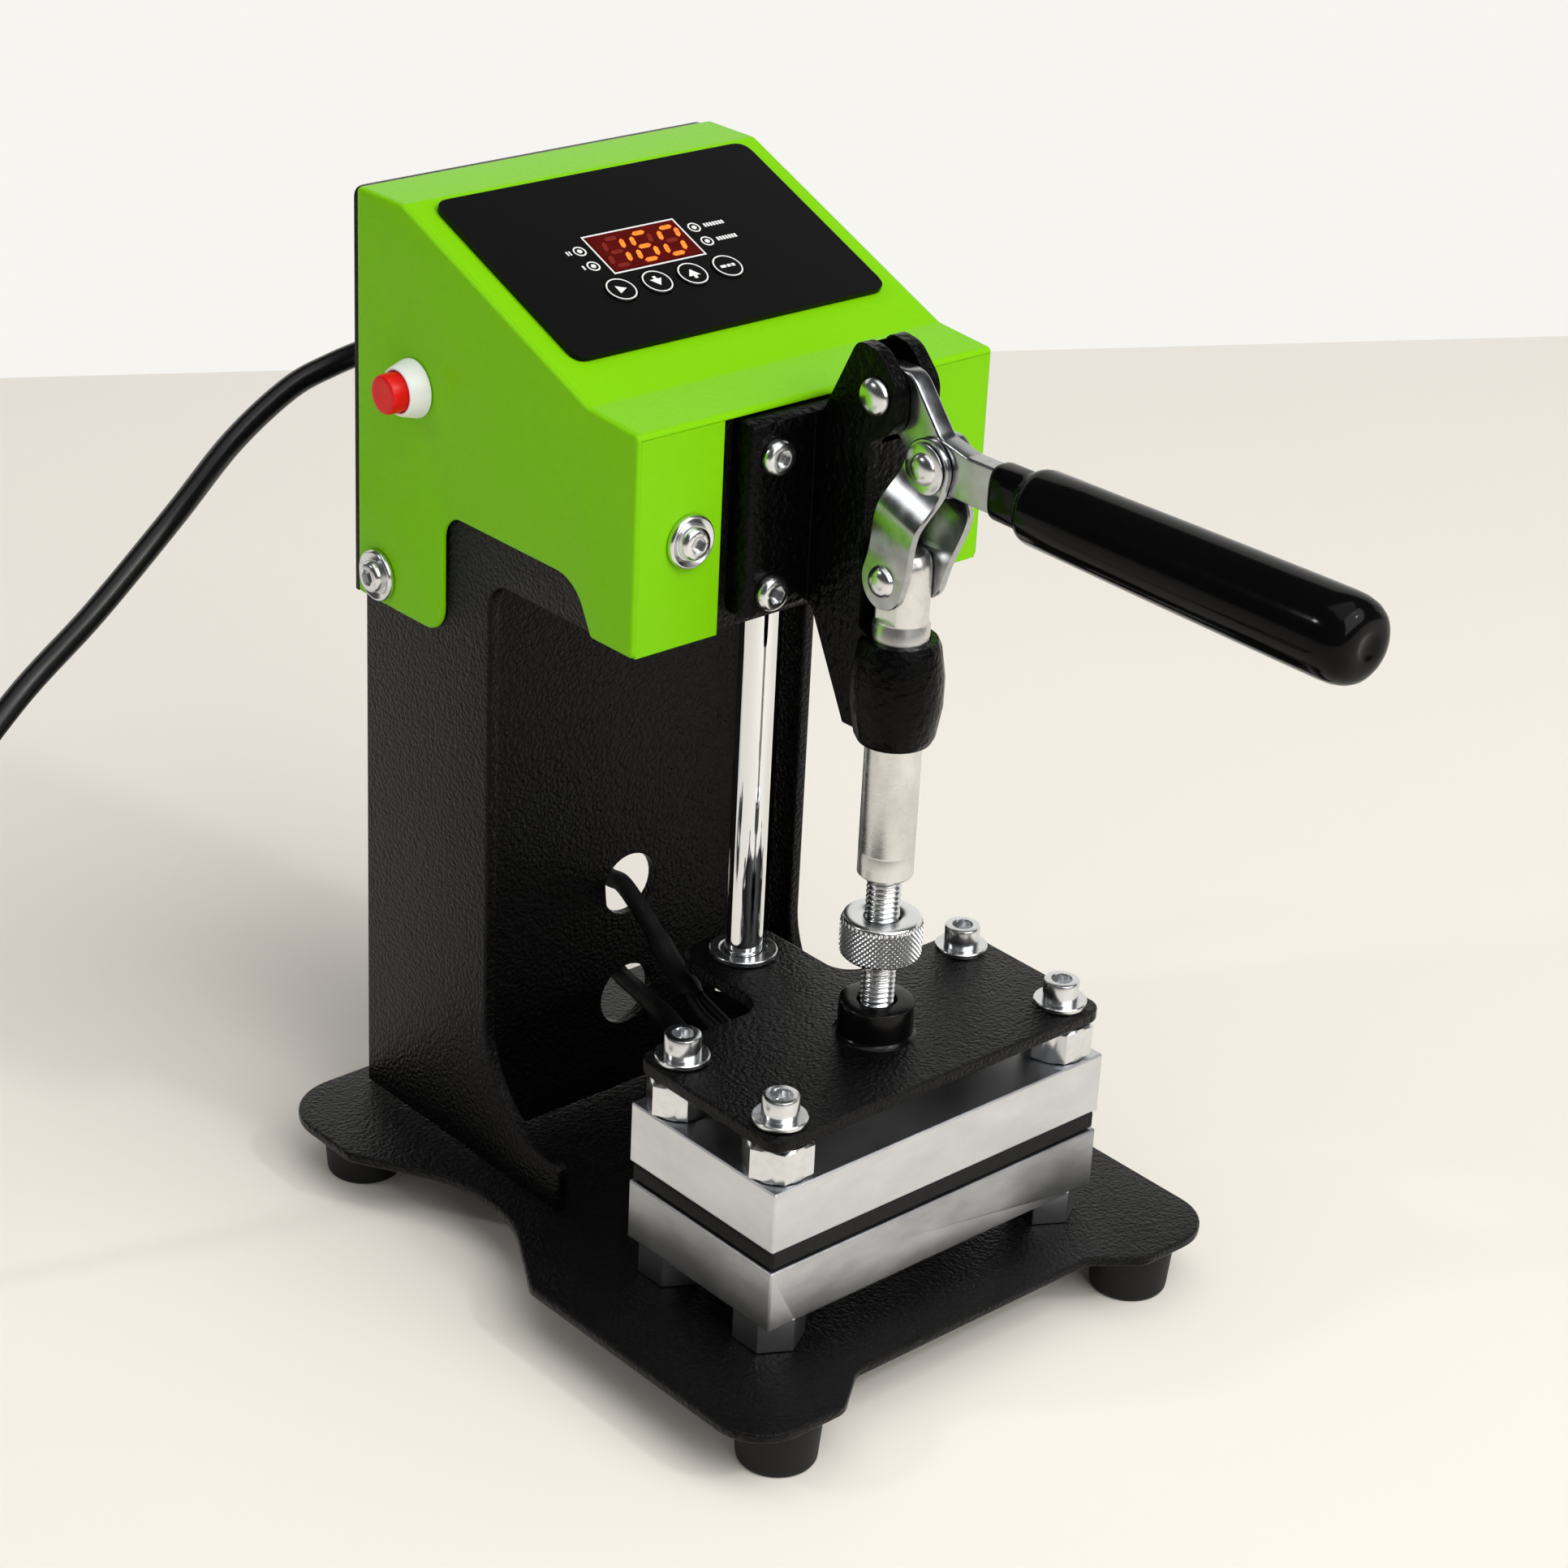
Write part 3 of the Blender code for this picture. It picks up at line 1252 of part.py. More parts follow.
def add_heater_cables(look):
    """Cables from the housing down the column, through the web to the platens' backs."""
    half_depth = platen_depth / 2.0
    behind = web_front_y + web_thickness
    inside_y = (behind + column_back_y) / 2.0
    top_z = side_plate_top_z
    joint_y = behind + cable_radius
    reach = web_front_y - half_depth
    spacing = cable_radius * 1.8

    exit_x = cable_high_exit_x
    riser = [
        (exit_x - cable_radius, inside_y, top_z), (exit_x - cable_radius, inside_y, (top_z + throat_z) / 2.0),
        (exit_x - cable_radius, inside_y, (web_hole_high_z + throat_z) / 2.0),
        (exit_x - cable_radius, inside_y - cable_radius * 0.5, web_hole_high_z + cable_radius * 5.0),
        (exit_x - cable_radius / 2.0, joint_y + cable_radius * 3.8, web_hole_high_z + cable_radius * 1.4),
        (exit_x, joint_y + cable_radius * 2.0, web_hole_high_z), (exit_x, joint_y, web_hole_high_z),
    ]
    points, length = smooth_route(riser, spacing)
    add_tube("heater_cable_riser", points, cable_radius, look["rubber"])

    end_z = upper_platen_top_z - cable_end_drop
    sag = web_hole_high_z - end_z
    upper = [
        (exit_x, joint_y - gap, web_hole_high_z), (exit_x, web_front_y, web_hole_high_z),
        (exit_x - cable_radius * 0.3, web_front_y - reach * 0.16, web_hole_high_z - sag * 0.24),
        (exit_x - cable_radius * 0.6, web_front_y - reach * 0.33, web_hole_high_z - sag * 0.58),
        (exit_x - cable_radius, web_front_y - reach * 0.52, web_hole_high_z - sag * 0.87),
        (exit_x - cable_radius, web_front_y - reach * 0.75, end_z),
        (exit_x - cable_radius, half_depth + gap, end_z),
    ]
    points, length = smooth_route(upper, spacing)
    add_tube("heater_cable_upper", points, cable_radius, look["rubber"])

    end_z = lower_platen_top_z - cable_end_drop
    sag = web_hole_low_z - end_z
    exit_x = cable_low_exit_x
    lower = [
        (exit_x + cable_radius, inside_y, top_z), (exit_x + cable_radius, inside_y, throat_z),
        (exit_x + cable_radius, inside_y, (throat_z + web_hole_low_z) / 2.0),
        (exit_x + cable_radius, inside_y - cable_radius / 2.0, web_hole_low_z + cable_radius * 6.0),
        (exit_x + cable_radius / 2.0, behind + cable_radius * 3.2, web_hole_low_z + cable_radius * 0.8),
        (exit_x, web_front_y, web_hole_low_z), (exit_x - cable_radius * 0.5, web_front_y - reach * 0.16,
                                                web_hole_low_z - sag * 0.02),
        (exit_x - cable_radius, web_front_y - reach * 0.36, web_hole_low_z - sag * 0.4),
        (exit_x - cable_radius * 2.0, web_front_y - reach * 0.6, web_hole_low_z - sag * 0.86),
        (exit_x - cable_radius * 2.4, web_front_y - reach * 0.8, end_z),
        (exit_x - cable_radius * 2.4, half_depth + gap, end_z),
    ]
    points, length = smooth_route(lower, spacing)
    add_tube("heater_cable_lower", points, cable_radius, look["rubber"])


def add_gland(look):
    """Strain relief: a neck through the back panel, a flange and a tapering sleeve."""
    face = housing_back_y + gap + panel_thickness + gap
    neck_start = housing_back_y + gap - gland_neck_length
    sleeve_start = face + gland_flange_height
    profile = [
        (0.0, neck_start), (gland_neck_radius, neck_start), (gland_neck_radius, face),
        (gland_flange_radius, face), (gland_flange_radius, sleeve_start),
        (relief_root_radius, sleeve_start), (relief_tip_radius, sleeve_start + relief_length),
        (0.0, sleeve_start + relief_length),
    ]
    add_solid("cord_gland", turned(profile, "Y", (gland_x, 0.0, gland_z), small_segments), look["rubber"])


def cord_axis_z():
    return cord_diameter / 2.0 + cord_floor_clearance


def cord_route():
    """Route of the free cord: out of the gland, over to the left and down to the floor.

    Each hand-chosen place is how far left of the gland it is, how far behind
    the gland's end, and its share of the gland's height.
    """
    start_y = housing_back_y + gap + panel_thickness + gap + gland_flange_height + relief_length + gap
    coil_outer = coil_middle_radius + coil_pitch * coil_turns / 4.0
    end = (coil_x + cord_diameter + gap, coil_y + coil_outer, cord_axis_z())
    hand_places = [
        (0.0, 8.0, 1.0), (2.5, 17.8, 0.989), (9.0, 26.6, 0.971), (19.0, 33.1, 0.949), (32.0, 36.1, 0.924),
        (53.0, 34.1, 0.874), (80.0, 23.6, 0.814), (111.0, 15.6, 0.732), (142.0, 7.6, 0.6615),
        (170.0, 1.6, 0.562), (194.0, -3.4, 0.429), (212.0, -7.4, 0.274), (228.0, -11.4, 0.128),
        (248.0, -14.4, 0.0398), (264.0, -15.9, 0.0177),
    ]
    route = [(gland_x, start_y, gland_z)]
    for left, behind, share in hand_places:
        route.append((gland_x - left * mm, start_y + behind * mm, gland_z * share))
    route.append(end)
    return route


def coil_points():
    """Turns that spiral in on the floor and out again one layer higher.

    The climb is in the half turn where the spiral reverses. The inner end of
    the route runs straight for one cord diameter, the plug's end clear of the
    turns.
    """
    half_turns = coil_turns / 2.0
    outer = coil_middle_radius + coil_pitch * half_turns / 2.0
    floor_z = cord_axis_z()
    steps = round(coil_turns * coil_points_per_turn)
    points = [Vector((coil_x + cord_diameter, coil_y + outer, floor_z))]
    for step in range(steps + 1):
        turns = coil_turns * step / steps
        radius = outer - coil_pitch * min(turns, coil_turns - turns)
        climb = ease((turns - half_turns) / 0.5 + 0.5)
        angle = math.pi / 2.0 + 2.0 * math.pi * turns
        points.append(Vector((coil_x + radius * math.cos(angle), coil_y + radius * math.sin(angle),
                              floor_z + coil_pitch * climb)))
    last_angle = math.pi / 2.0 + 2.0 * math.pi * coil_turns
    points.append(points[-1] + Vector((-math.sin(last_angle), math.cos(last_angle), 0.0)) * coil_tail)
    return points


def least_gap(points, skip):
    """Least space between turns: distance of points that are not neighbours, less a diameter."""
    least = None
    for first in range(len(points)):
        for second in range(first + skip, len(points)):
            between = (points[first] - points[second]).length
            if least is None or between < least:
                least = between
    return least - cord_diameter


def add_cord(look):
    points, length = smooth_route(cord_route(), cord_diameter * 1.4)
    add_tube("power_cord", points, cord_diameter / 2.0, look["rubber"], 2)
    turns = coil_points()
    add_tube("cord_coil", turns, cord_diameter / 2.0, look["rubber"], 1)
    coil_length = sum((b - a).length for a, b in zip(turns, turns[1:]))
    print("cord length", round(length + coil_length, 4), "coil gap to itself",
          round(least_gap(turns, coil_points_per_turn // 2) / mm, 3), "mm")

    end = turns[-1]
    way = (turns[-1] - turns[-2]).normalized()
    start_y = end.y + way.y * gap
    nose_y = start_y - plug_length
    waist_y = start_y - plug_length * (1.0 - plug_nose_share)
    height = end.z - plug_height_clearance
    corners = [
        (end.x - plug_tail_half_width, start_y, edge_break), (end.x + plug_tail_half_width, start_y, edge_break),
        (end.x + plug_half_width, waist_y, overrun), (end.x + plug_half_width, nose_y, edge_break),
        (end.x - plug_half_width, nose_y, edge_break), (end.x - plug_half_width, waist_y, overrun),
    ]
    solid = prism(outline(corners, 3), "Z", end.z - height, end.z + height)
    plug = add_solid("plug", solid, look["rubber"])
    round_edges(plug, edge_break, 1)
    for side, x in (("left", -1.0), ("right", 1.0)):
        centre_x = end.x + x * blade_spacing
        cut(plug, f"plug_blade_{side}",
            block((centre_x - blade_half_thickness, nose_y - blade_length, end.z),
                  (centre_x + blade_half_thickness, nose_y + edge_break * 2.0, end.z + blade_half_width * 2.0)),
            operation="UNION")
    cut(plug, "plug_earth_pin",
        rod("Y", (end.x, 0.0, end.z - earth_pin_drop), earth_pin_radius, nose_y - blade_length,
            nose_y + edge_break * 2.0, 12), operation="UNION")


def main():
    clear_scene()
    add_pivot(MACHINE, (0.0, 0.0, 0.0))
    add_pivot("handle_pivot", (0.0, pivot_y, pivot_z))
    add_pivot("knee_pivot", (0.0, knee_y, knee_z))
    add_pivot("plunger_axis", (0.0, 0.0, lower_pivot_z))
    add_pivot("button_axis", (-housing_half_width, switch_y, switch_z))
    slope = math.atan2(housing_top_z - slope_foot_z, slope_top_y - slope_foot_y)
    add_pivot(PANEL, (0.0, slope_foot_y, slope_foot_z), slope)
    look = build_materials()
    add_feet(look)
    add_base(look)
    add_side_plates(look)
    add_web(look)
    add_head_bracket(look)
    add_bush(look)
    add_housing(look)
    add_back_panel(look)
    add_housing_screws(look)
    add_clamp_body(look)
    add_clamp_screws(look)
    add_pins(look)
    add_plunger(look)
    add_handle(look)
    add_links(look)
    add_adjuster(look)
    add_pressure_plate(look)
    add_guide_rod(look)
    add_platen_bolts(look)
    add_platens(look)
    add_panel(look)
    add_switch(look)
    add_heater_cables(look)
    add_gland(look)
    add_cord(look)


main()
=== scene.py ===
"""Looks of the mini heat press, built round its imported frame.

Sizes are in millimetres from the plunger's axis on the floor, with the front
of the press towards -Y. add_piece() turns them into the frame's metres.
"""
import math

import bmesh
import bpy
import numpy as np
from mathutils import Matrix


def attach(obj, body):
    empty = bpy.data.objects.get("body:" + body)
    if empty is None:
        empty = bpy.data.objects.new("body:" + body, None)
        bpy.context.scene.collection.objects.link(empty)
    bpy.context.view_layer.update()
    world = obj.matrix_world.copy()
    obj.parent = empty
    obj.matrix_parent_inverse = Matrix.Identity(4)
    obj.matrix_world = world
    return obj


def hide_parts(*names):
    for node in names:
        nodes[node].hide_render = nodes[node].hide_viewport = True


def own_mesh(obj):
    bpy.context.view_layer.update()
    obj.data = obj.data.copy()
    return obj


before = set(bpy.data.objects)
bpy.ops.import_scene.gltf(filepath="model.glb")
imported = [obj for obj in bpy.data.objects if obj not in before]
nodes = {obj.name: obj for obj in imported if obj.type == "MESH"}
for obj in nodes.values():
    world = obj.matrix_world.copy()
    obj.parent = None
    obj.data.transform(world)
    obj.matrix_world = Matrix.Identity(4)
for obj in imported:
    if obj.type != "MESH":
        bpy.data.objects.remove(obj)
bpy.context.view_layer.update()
mm = 0.001
plunger_axis_y = -5.25

# Camera
# A long lens from the front left, a little above the control panel. The
# picture leans about three degrees, and so does the camera.
camera_place = (-589.03, -597.75 + plunger_axis_y, 561.92)
azimuth = math.radians(-42.688)
elevation = math.radians(25.759)
lean = math.radians(2.97)

backwards = np.array([math.sin(azimuth) * math.cos(elevation), -math.cos(azimuth) * math.cos(elevation),
                      math.sin(elevation)])
level_right = np.cross(-backwards, (0.0, 0.0, 1.0))
level_right /= np.linalg.norm(level_right)
level_up = np.cross(level_right, -backwards)
right = math.cos(lean) * level_right + math.sin(lean) * level_up
up = math.cos(lean) * level_up - math.sin(lean) * level_right
lens = bpy.data.cameras.new("camera")
lens.sensor_width = 36.0
lens.lens = 82.33
lens.clip_start = 0.01
camera = bpy.data.objects.new("camera", lens)
columns = np.column_stack([right, up, backwards, np.array(camera_place) * mm])
camera.matrix_world = Matrix(np.vstack([columns, (0.0, 0.0, 0.0, 1.0)]).tolist())
bpy.context.scene.collection.objects.link(camera)
bpy.context.scene.camera = camera
bpy.context.scene.view_settings.view_transform = "Standard"


# Floor and light
# A cream table that ends behind the press in front of a near-white wall. A
# large soft lamp and a small one stand high in front, one hangs overhead and
# a weak one stands behind left.
class Term:
    """A number of a material. Sums and products of it add their Math nodes."""

    def __init__(self, paint, socket):
        self.paint = paint
        self.socket = socket

    def maths(self, operation, first, second):
        return self.paint.node("Math", {0: first, 1: second}, operation=operation)

    def __add__(self, other):
        return self.maths("ADD", self, other)

    def __sub__(self, other):
        return self.maths("SUBTRACT", self, other)

    def __rsub__(self, other):
        return self.maths("SUBTRACT", other, self)

    def __mul__(self, other):
        return self.maths("MULTIPLY", self, other)

    def __gt__(self, other):
        return self.maths("GREATER_THAN", self, other)

    __radd__ = __add__
    __rmul__ = __mul__


class Paint:
    """A new material or world and its nodes. node() adds any other node."""

    def __init__(self, name, library=bpy.data.materials):
        self.block = library.new(name)
        self.block.use_nodes = True
        self.tree = self.block.node_tree

    def node(self, kind, values=None, output=0, stops=None, **settings):
        """One node: its settings first, then values or links by socket name or number."""
        made = self.tree.nodes.new("ShaderNode" + kind)
        for name, value in settings.items():
            setattr(made, name, value)
        if stops:
            ramp = made.color_ramp.elements
            while len(ramp) < len(stops):
                ramp.new(1.0)
            for element, (place, colour) in zip(ramp, stops):
                element.position = place
                element.color = (*colour, 1.0)
        self.fill(made, values or {})
        return Term(self, made.outputs[output])

    def fill(self, made, values):
        for name, value in values.items():
            if isinstance(value, Term):
                self.tree.links.new(value.socket, made.inputs[name])
            elif hasattr(value, "__len__") and made.inputs[name].type == "RGBA":
                made.inputs[name].default_value = (*value, 1.0)
            else:
                made.inputs[name].default_value = value

    def where(self, stretch=(1.0, 1.0, 1.0)):
        """Object coordinates in metres, stretched by three factors."""
        place = self.node("TexCoord", output="Object")
        return self.node("Mapping", {"Vector": place, "Scale": stretch})

    def noise(self, scale, detail=3.0, stretch=(1.0, 1.0, 1.0), roughness=0.5):
        """Noise from 0 to 1 with that many features to a metre."""
        return self.node("TexNoise", {"Vector": self.where(stretch), "Scale": scale, "Detail": detail,
                                      "Roughness": roughness})

    def between(self, share, low, high):
        """Two colours mixed by a share from 0 to 1."""
        mix = self.tree.nodes.new("ShaderNodeMix")
        mix.data_type = "RGBA"
        self.tree.links.new(share.socket, mix.inputs["Factor"])
        mix.inputs[6].default_value = (*low, 1.0)
        mix.inputs[7].default_value = (*high, 1.0)
        return Term(self, mix.outputs[2])

    def relief(self, height, distance, strength=1.0, edge=0.35):
        """Bump of that height in millimetres over edges rounded by a small radius."""
        rounded = self.node("Bevel", {"Radius": edge * mm}, samples=4)
        return self.node("Bump", {"Height": height, "Distance": distance * mm, "Strength": strength,
                                  "Normal": rounded})

    def finish(self, **values):
        """Values or links of the Principled shader's sockets, with _ for a space in their names."""
        self.fill(self.tree.nodes["Principled BSDF"],
                  {name.replace("_", " "): value for name, value in values.items()})
        return self.block

    def shine(self, output, light):
        """A shader linked to the output node of that name."""
        self.fill(self.tree.nodes[output], {"Surface": light})
        return self.block


def add_sheet(name, corners, material):
    """A flat piece of the studio from its corners in millimetres, anticlockwise as seen."""
    mesh = bpy.data.meshes.new(name)
    mesh.from_pydata((np.array(corners) * mm).tolist(), [], [range(len(corners))])
    mesh.materials.append(material)
    sheet = bpy.data.objects.new(name, mesh)
    bpy.context.scene.collection.objects.link(sheet)


cream_paint = Paint("cream_table")
cream_blotch = cream_paint.noise(3.0, 2.0)
cream = cream_paint.finish(
    Base_Color=cream_paint.between(cream_blotch, (0.84, 0.79, 0.71), (0.88, 0.832, 0.757)),
    Roughness=0.62, Specular_IOR_Level=0.25)
table_left, table_right = (-2600.0, 2339.0, 0.0), (3650.0, -1144.0, 0.0)
table_depth = np.array([-6500.0, -8600.0, 0.0])
add_sheet("table", [table_left, table_left + table_depth, table_right + table_depth, table_right], cream)

# The wall is seen directly, in mirrors and through glass, and lights nothing.
wall_paint = Paint("pale_wall")
seen = sum(wall_paint.node("LightPath", output=f"Is {kind} Ray")
           for kind in ("Camera", "Glossy", "Transmission"))
wall_shade = wall_paint.between(wall_paint.noise(0.8, 1.0), (0.925, 0.912, 0.875), (0.93, 0.92, 0.885))
wall_light = wall_paint.node("Emission", {"Color": wall_shade})
clear = wall_paint.node("BsdfTransparent")
pale = wall_paint.shine("Material Output", wall_paint.node("MixShader", {0: seen, 1: clear, 2: wall_light}))
wall_left, wall_right, wall_low, wall_high = (-2200.0, 5000.0), (5600.0, -2200.0), -2500.0, 2100.0
add_sheet("wall", [(*wall_left, wall_low), (*wall_right, wall_low), (*wall_right, wall_high),
                   (*wall_left, wall_high)], pale)

# The room is pale where it is seen, dark in mirrors, and lights the press evenly.
sky = Paint("studio", bpy.data.worlds)
mirrored_or_lit = sky.node("MixShader", {
    0: sky.node("LightPath", output="Is Glossy Ray"),
    1: sky.node("Background", {"Color": (0.97, 0.985, 1.0), "Strength": 0.31}),
    2: sky.node("Background", {"Color": (0.055, 0.055, 0.06)})})
bpy.context.scene.world = sky.shine("World Output", sky.node("MixShader", {
    0: sky.node("LightPath", output="Is Camera Ray"),
    1: mirrored_or_lit,
    2: sky.node("Background", {"Color": (0.925, 0.915, 0.88)})}))


def add_lamp(name, place, target, size, power):
    """A square soft lamp at a place in millimetres, turned to a target."""
    lamp = bpy.data.lights.new(name, "AREA")
    lamp.size = size * mm
    lamp.energy = power
    holder = bpy.data.objects.new(name, lamp)
    away = np.array(place, float) - np.array(target, float)
    away /= np.linalg.norm(away)
    side = np.cross((0.0, 0.0, 1.0), away)
    side /= np.linalg.norm(side)
    axes = np.column_stack([side, np.cross(away, side), away, np.array(place) * mm])
    holder.matrix_world = Matrix(np.vstack([axes, (0.0, 0.0, 0.0, 1.0)]).tolist())
    bpy.context.scene.collection.objects.link(holder)


press_middle = (0.0, 50.0, 150.0)
add_lamp("key_lamp", (200.0, -2500.0, 2500.0), press_middle, size=3400.0, power=117.0)
add_lamp("top_lamp", (-100.0, -200.0, 3300.0), press_middle, size=2600.0, power=25.0)
add_lamp("small_lamp", (620.0, -2300.0, 2600.0), press_middle, size=240.0, power=15.0)
add_lamp("rim_lamp", (-1500.0, 900.0, 1350.0), (0.0, 50.0, 200.0), size=150.0, power=4.0)

# Feet
# Four moulded rubber feet, screwed up into the base plate. They are a little
# wider at the plate than on the table, with a small round at the lower edge.


def ring_faces(rings, count, looped=False):
    """Quads between neighbouring rings of count points; looped joins the last ring to the first."""
    ring = np.arange(rings if looped else rings - 1)[:, None] * count
    after = (ring + count) % (rings * count)
    place = np.arange(count)[None, :]
    beside = (place + 1) % count
    return np.stack([ring + place, ring + beside, after + beside, after + place], -1).reshape(-1, 4).tolist()


def capped(rings, count):
    """Quads between rings, and a flat face on the first ring and on the last."""
    return ring_faces(rings, count) + [list(range(count)), list(range((rings - 1) * count, rings * count))]


def add_piece(name, points, faces, body, material, slot, *stands_for, sharp=35.0):
    """A closed mesh from points in millimetres, riding on a body in place of CAD nodes."""
    mesh = bpy.data.meshes.new(name)
    places = (np.asarray(points, float).reshape(-1, 3) + (0.0, plunger_axis_y, 0.0)) * mm
    mesh.from_pydata(places.tolist(), [], faces)
    shape = bmesh.new()
    shape.from_mesh(mesh)
    bmesh.ops.remove_doubles(shape, verts=shape.verts, dist=0.002 * mm)
    bmesh.ops.recalc_face_normals(shape, faces=shape.faces)
    shape.to_mesh(mesh)
    shape.free()
    mesh.shade_smooth()
    mesh.set_sharp_from_angle(angle=math.radians(sharp))
    mesh.materials.append(material)
    piece = bpy.data.objects.new(name, mesh)
    bpy.context.scene.collection.objects.link(piece)
    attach(piece, body)
    if stands_for:
        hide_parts(*stands_for)
    return piece


def along_axis(axis, centre, u, v, height):
    """Places u and v beside an axis through centre, at a height along it."""
    if axis == "X":
        return np.stack(np.broadcast_arrays(height, centre[1] + u, centre[2] + v), -1)
    if axis == "Y":
        return np.stack(np.broadcast_arrays(centre[0] + u, height, centre[2] + v), -1)
    return np.stack(np.broadcast_arrays(centre[0] + u, centre[1] + v, height), -1)


def turned(profile, axis, centre, segments=48, looped=False):
    """A profile of (radius, height, six) turned about an axis.

    The radius at an angle t is that of a circle where six is 0, and where six
    is 1 that of the hexagon round the circle: radius / cos(t mod 60 - 30).
    """
    rows = np.array([(*row, 0.0)[:3] for row in profile], float)
    turn = 2.0 * math.pi * np.arange(segments) / segments
    flat = 1.0 / np.cos((turn % (math.pi / 3.0)) - math.pi / 6.0)
    radius = rows[:, :1] * (1.0 + rows[:, 2:] * (flat - 1.0))
    grid = along_axis(axis, centre, radius * np.cos(turn), radius * np.sin(turn), rows[:, 1:2])
    return grid, ring_faces(len(rows), segments, looped)


rubber_paint = Paint("moulded_rubber")
rubber_grain = rubber_paint.noise(1800.0, 3.0)
rubber = rubber_paint.finish(
    Base_Color=rubber_paint.between(rubber_paint.noise(90.0), (0.003, 0.003, 0.0032), (0.007, 0.007, 0.007)),
    Specular_IOR_Level=0.25,
    Roughness=0.5 + 0.2 * rubber_grain,
    Normal=rubber_paint.relief(rubber_grain, 0.05, 0.5, 0.5))

foot_height = 16.0
foot_profile = [(0.0, 1.2), (3.2, 1.2), (3.6, 0.0), (9.6, 0.0), (10.3, 0.25), (10.75, 0.9), (10.9, 1.8),
                (11.95, foot_height - 1.2), (11.9, foot_height - 0.4), (11.5, foot_height),
                (0.0, foot_height)]
sides = (("left", -1.0), ("right", 1.0))
for end, foot_x, foot_y in (("front", 66.0, -41.0), ("rear", 69.0, 138.0)):
    for side, sign in sides:
        add_piece(f"rubber_foot_{end}_{side}", *turned(foot_profile, "Z", (sign * foot_x, foot_y, 0.0)),
                  "frame", rubber, "rubber", f"foot_{end}_{side}")

# Base plate
# 3 mm steel plate, laser cut with a waist on each side and a recess in front,
# then coated in a black powder that dries into a leather-like grain.


def rounded(corners, steps=10):
    """An outline from corners (u, v, radius): each corner is an arc tangent to both its sides."""
    here = np.array(corners, float)
    points = []
    for index, (u, v, radius) in enumerate(here):
        before = here[index - 1, :2] - (u, v)
        after = here[(index + 1) % len(here), :2] - (u, v)
        lengths = np.linalg.norm(before), np.linalg.norm(after)
        before, after = before / lengths[0], after / lengths[1]
        half = math.acos(float(np.clip(before @ after, -1.0, 1.0))) / 2.0
        if radius <= 0.0 or half > 1.55:
            points.append([(u, v)])
            continue
        radius = min(radius, 0.49 * min(lengths) * math.tan(half))
        middle = before + after
        centre = (u, v) + middle / np.linalg.norm(middle) * radius / math.sin(half)
        start = (u, v) + before * radius / math.tan(half) - centre
        end = (u, v) + after * radius / math.tan(half) - centre
        share = np.linspace(0.0, 1.0, steps + 1)[:, None]
        opening = math.pi - 2.0 * half
        points.append(centre + (start * np.sin((1.0 - share) * opening) + end * np.sin(share * opening))
                      / math.sin(opening))
    return np.vstack(points)


def plate(outline, axis, low, high, edge=0.6, far_edge=None, steps=4):
    """An outline pulled along an axis, with quarter-round edges.

    Each ring is the outline moved inwards by edge * (1 - sin a), at a height
    edge * (1 - cos a) from the face, for a from 0 to 90 degrees. far_edge is
    the edge at the high face where that differs.
    """
    far_edge = edge if far_edge is None else far_edge
    ahead = np.roll(outline, -1, axis=0) - outline
    behind = outline - np.roll(outline, 1, axis=0)
    ahead /= np.linalg.norm(ahead, axis=1, keepdims=True)
    behind /= np.linalg.norm(behind, axis=1, keepdims=True)
    inward = np.column_stack([-(ahead + behind)[:, 1], (ahead + behind)[:, 0]])
    inward /= np.maximum((inward ** 2).sum(1, keepdims=True) / 2.0, 0.6)
    following = np.roll(outline, -1, axis=0)
    area = (outline[:, 0] * following[:, 1] - outline[:, 1] * following[:, 0]).sum()
    inward *= math.copysign(1.0, area)
    angle = np.linspace(0.0, math.pi / 2.0, steps + 1)
    inset, lift = 1.0 - np.sin(angle), 1.0 - np.cos(angle)
    inset = np.concatenate([edge * inset, far_edge * inset[::-1]])
    height = np.concatenate([low + edge * lift, high - far_edge * lift[::-1]])
    rings = outline[None] + inward[None] * inset[:, None, None]
    along = np.broadcast_to(height[:, None], rings.shape[:2])
    order = {"X": (along, rings[..., 0], rings[..., 1]), "Y": (rings[..., 0], along, rings[..., 1]),
             "Z": (rings[..., 0], rings[..., 1], along)}[axis]
    return np.stack(order, -1), capped(len(height), len(outline))


def mirrored(half):
    """A half outline at +u followed by its mirror image at -u."""
    return half + [(-u, v, radius) for u, v, radius in reversed(half)]


def leather_black(name, grain, height, tone=0.0015, gloss=0.14):
    """Black powder coat: shallow round cells between wrinkles, a soft sheen on top."""
    paint = Paint(name)
    cells = paint.node("TexVoronoi", {"Vector": paint.where(), "Scale": grain, "Randomness": 1.0},
                       feature="SMOOTH_F1")
    ripple = paint.noise(grain * 0.9, 4.0, roughness=0.6)
    skin = ripple * 0.75 + (1.0 - cells) * 0.45
    deep, pale_grey = (tone * 0.7, tone * 0.7, tone * 0.75), (tone * 1.5, tone * 1.5, tone * 1.5)
    return paint.finish(
        Base_Color=paint.between(ripple, deep, pale_grey),
        Roughness=0.12 + 0.14 * ripple, Specular_IOR_Level=gloss,
        Normal=paint.relief(skin, height, 1.0, 0.5))


leather = leather_black("leather_powder_coat", 950.0, 0.7)
base_half = [(43.0, -45.5, 7.0), (56.0, -55.5, 7.0), (87.0, -55.5, 15.0), (87.0, 37.0, 7.0),
             (70.0, 66.0, 40.0), (70.0, 92.0, 40.0), (87.0, 121.0, 7.0), (87.0, 158.0, 20.0)]
base_low, base_high = 16.3, 19.3
add_piece("leather_base_plate", *plate(rounded(mirrored(base_half)), "Z", base_low, base_high, 0.8),
          "frame", leather, "powder_black", "base_plate")

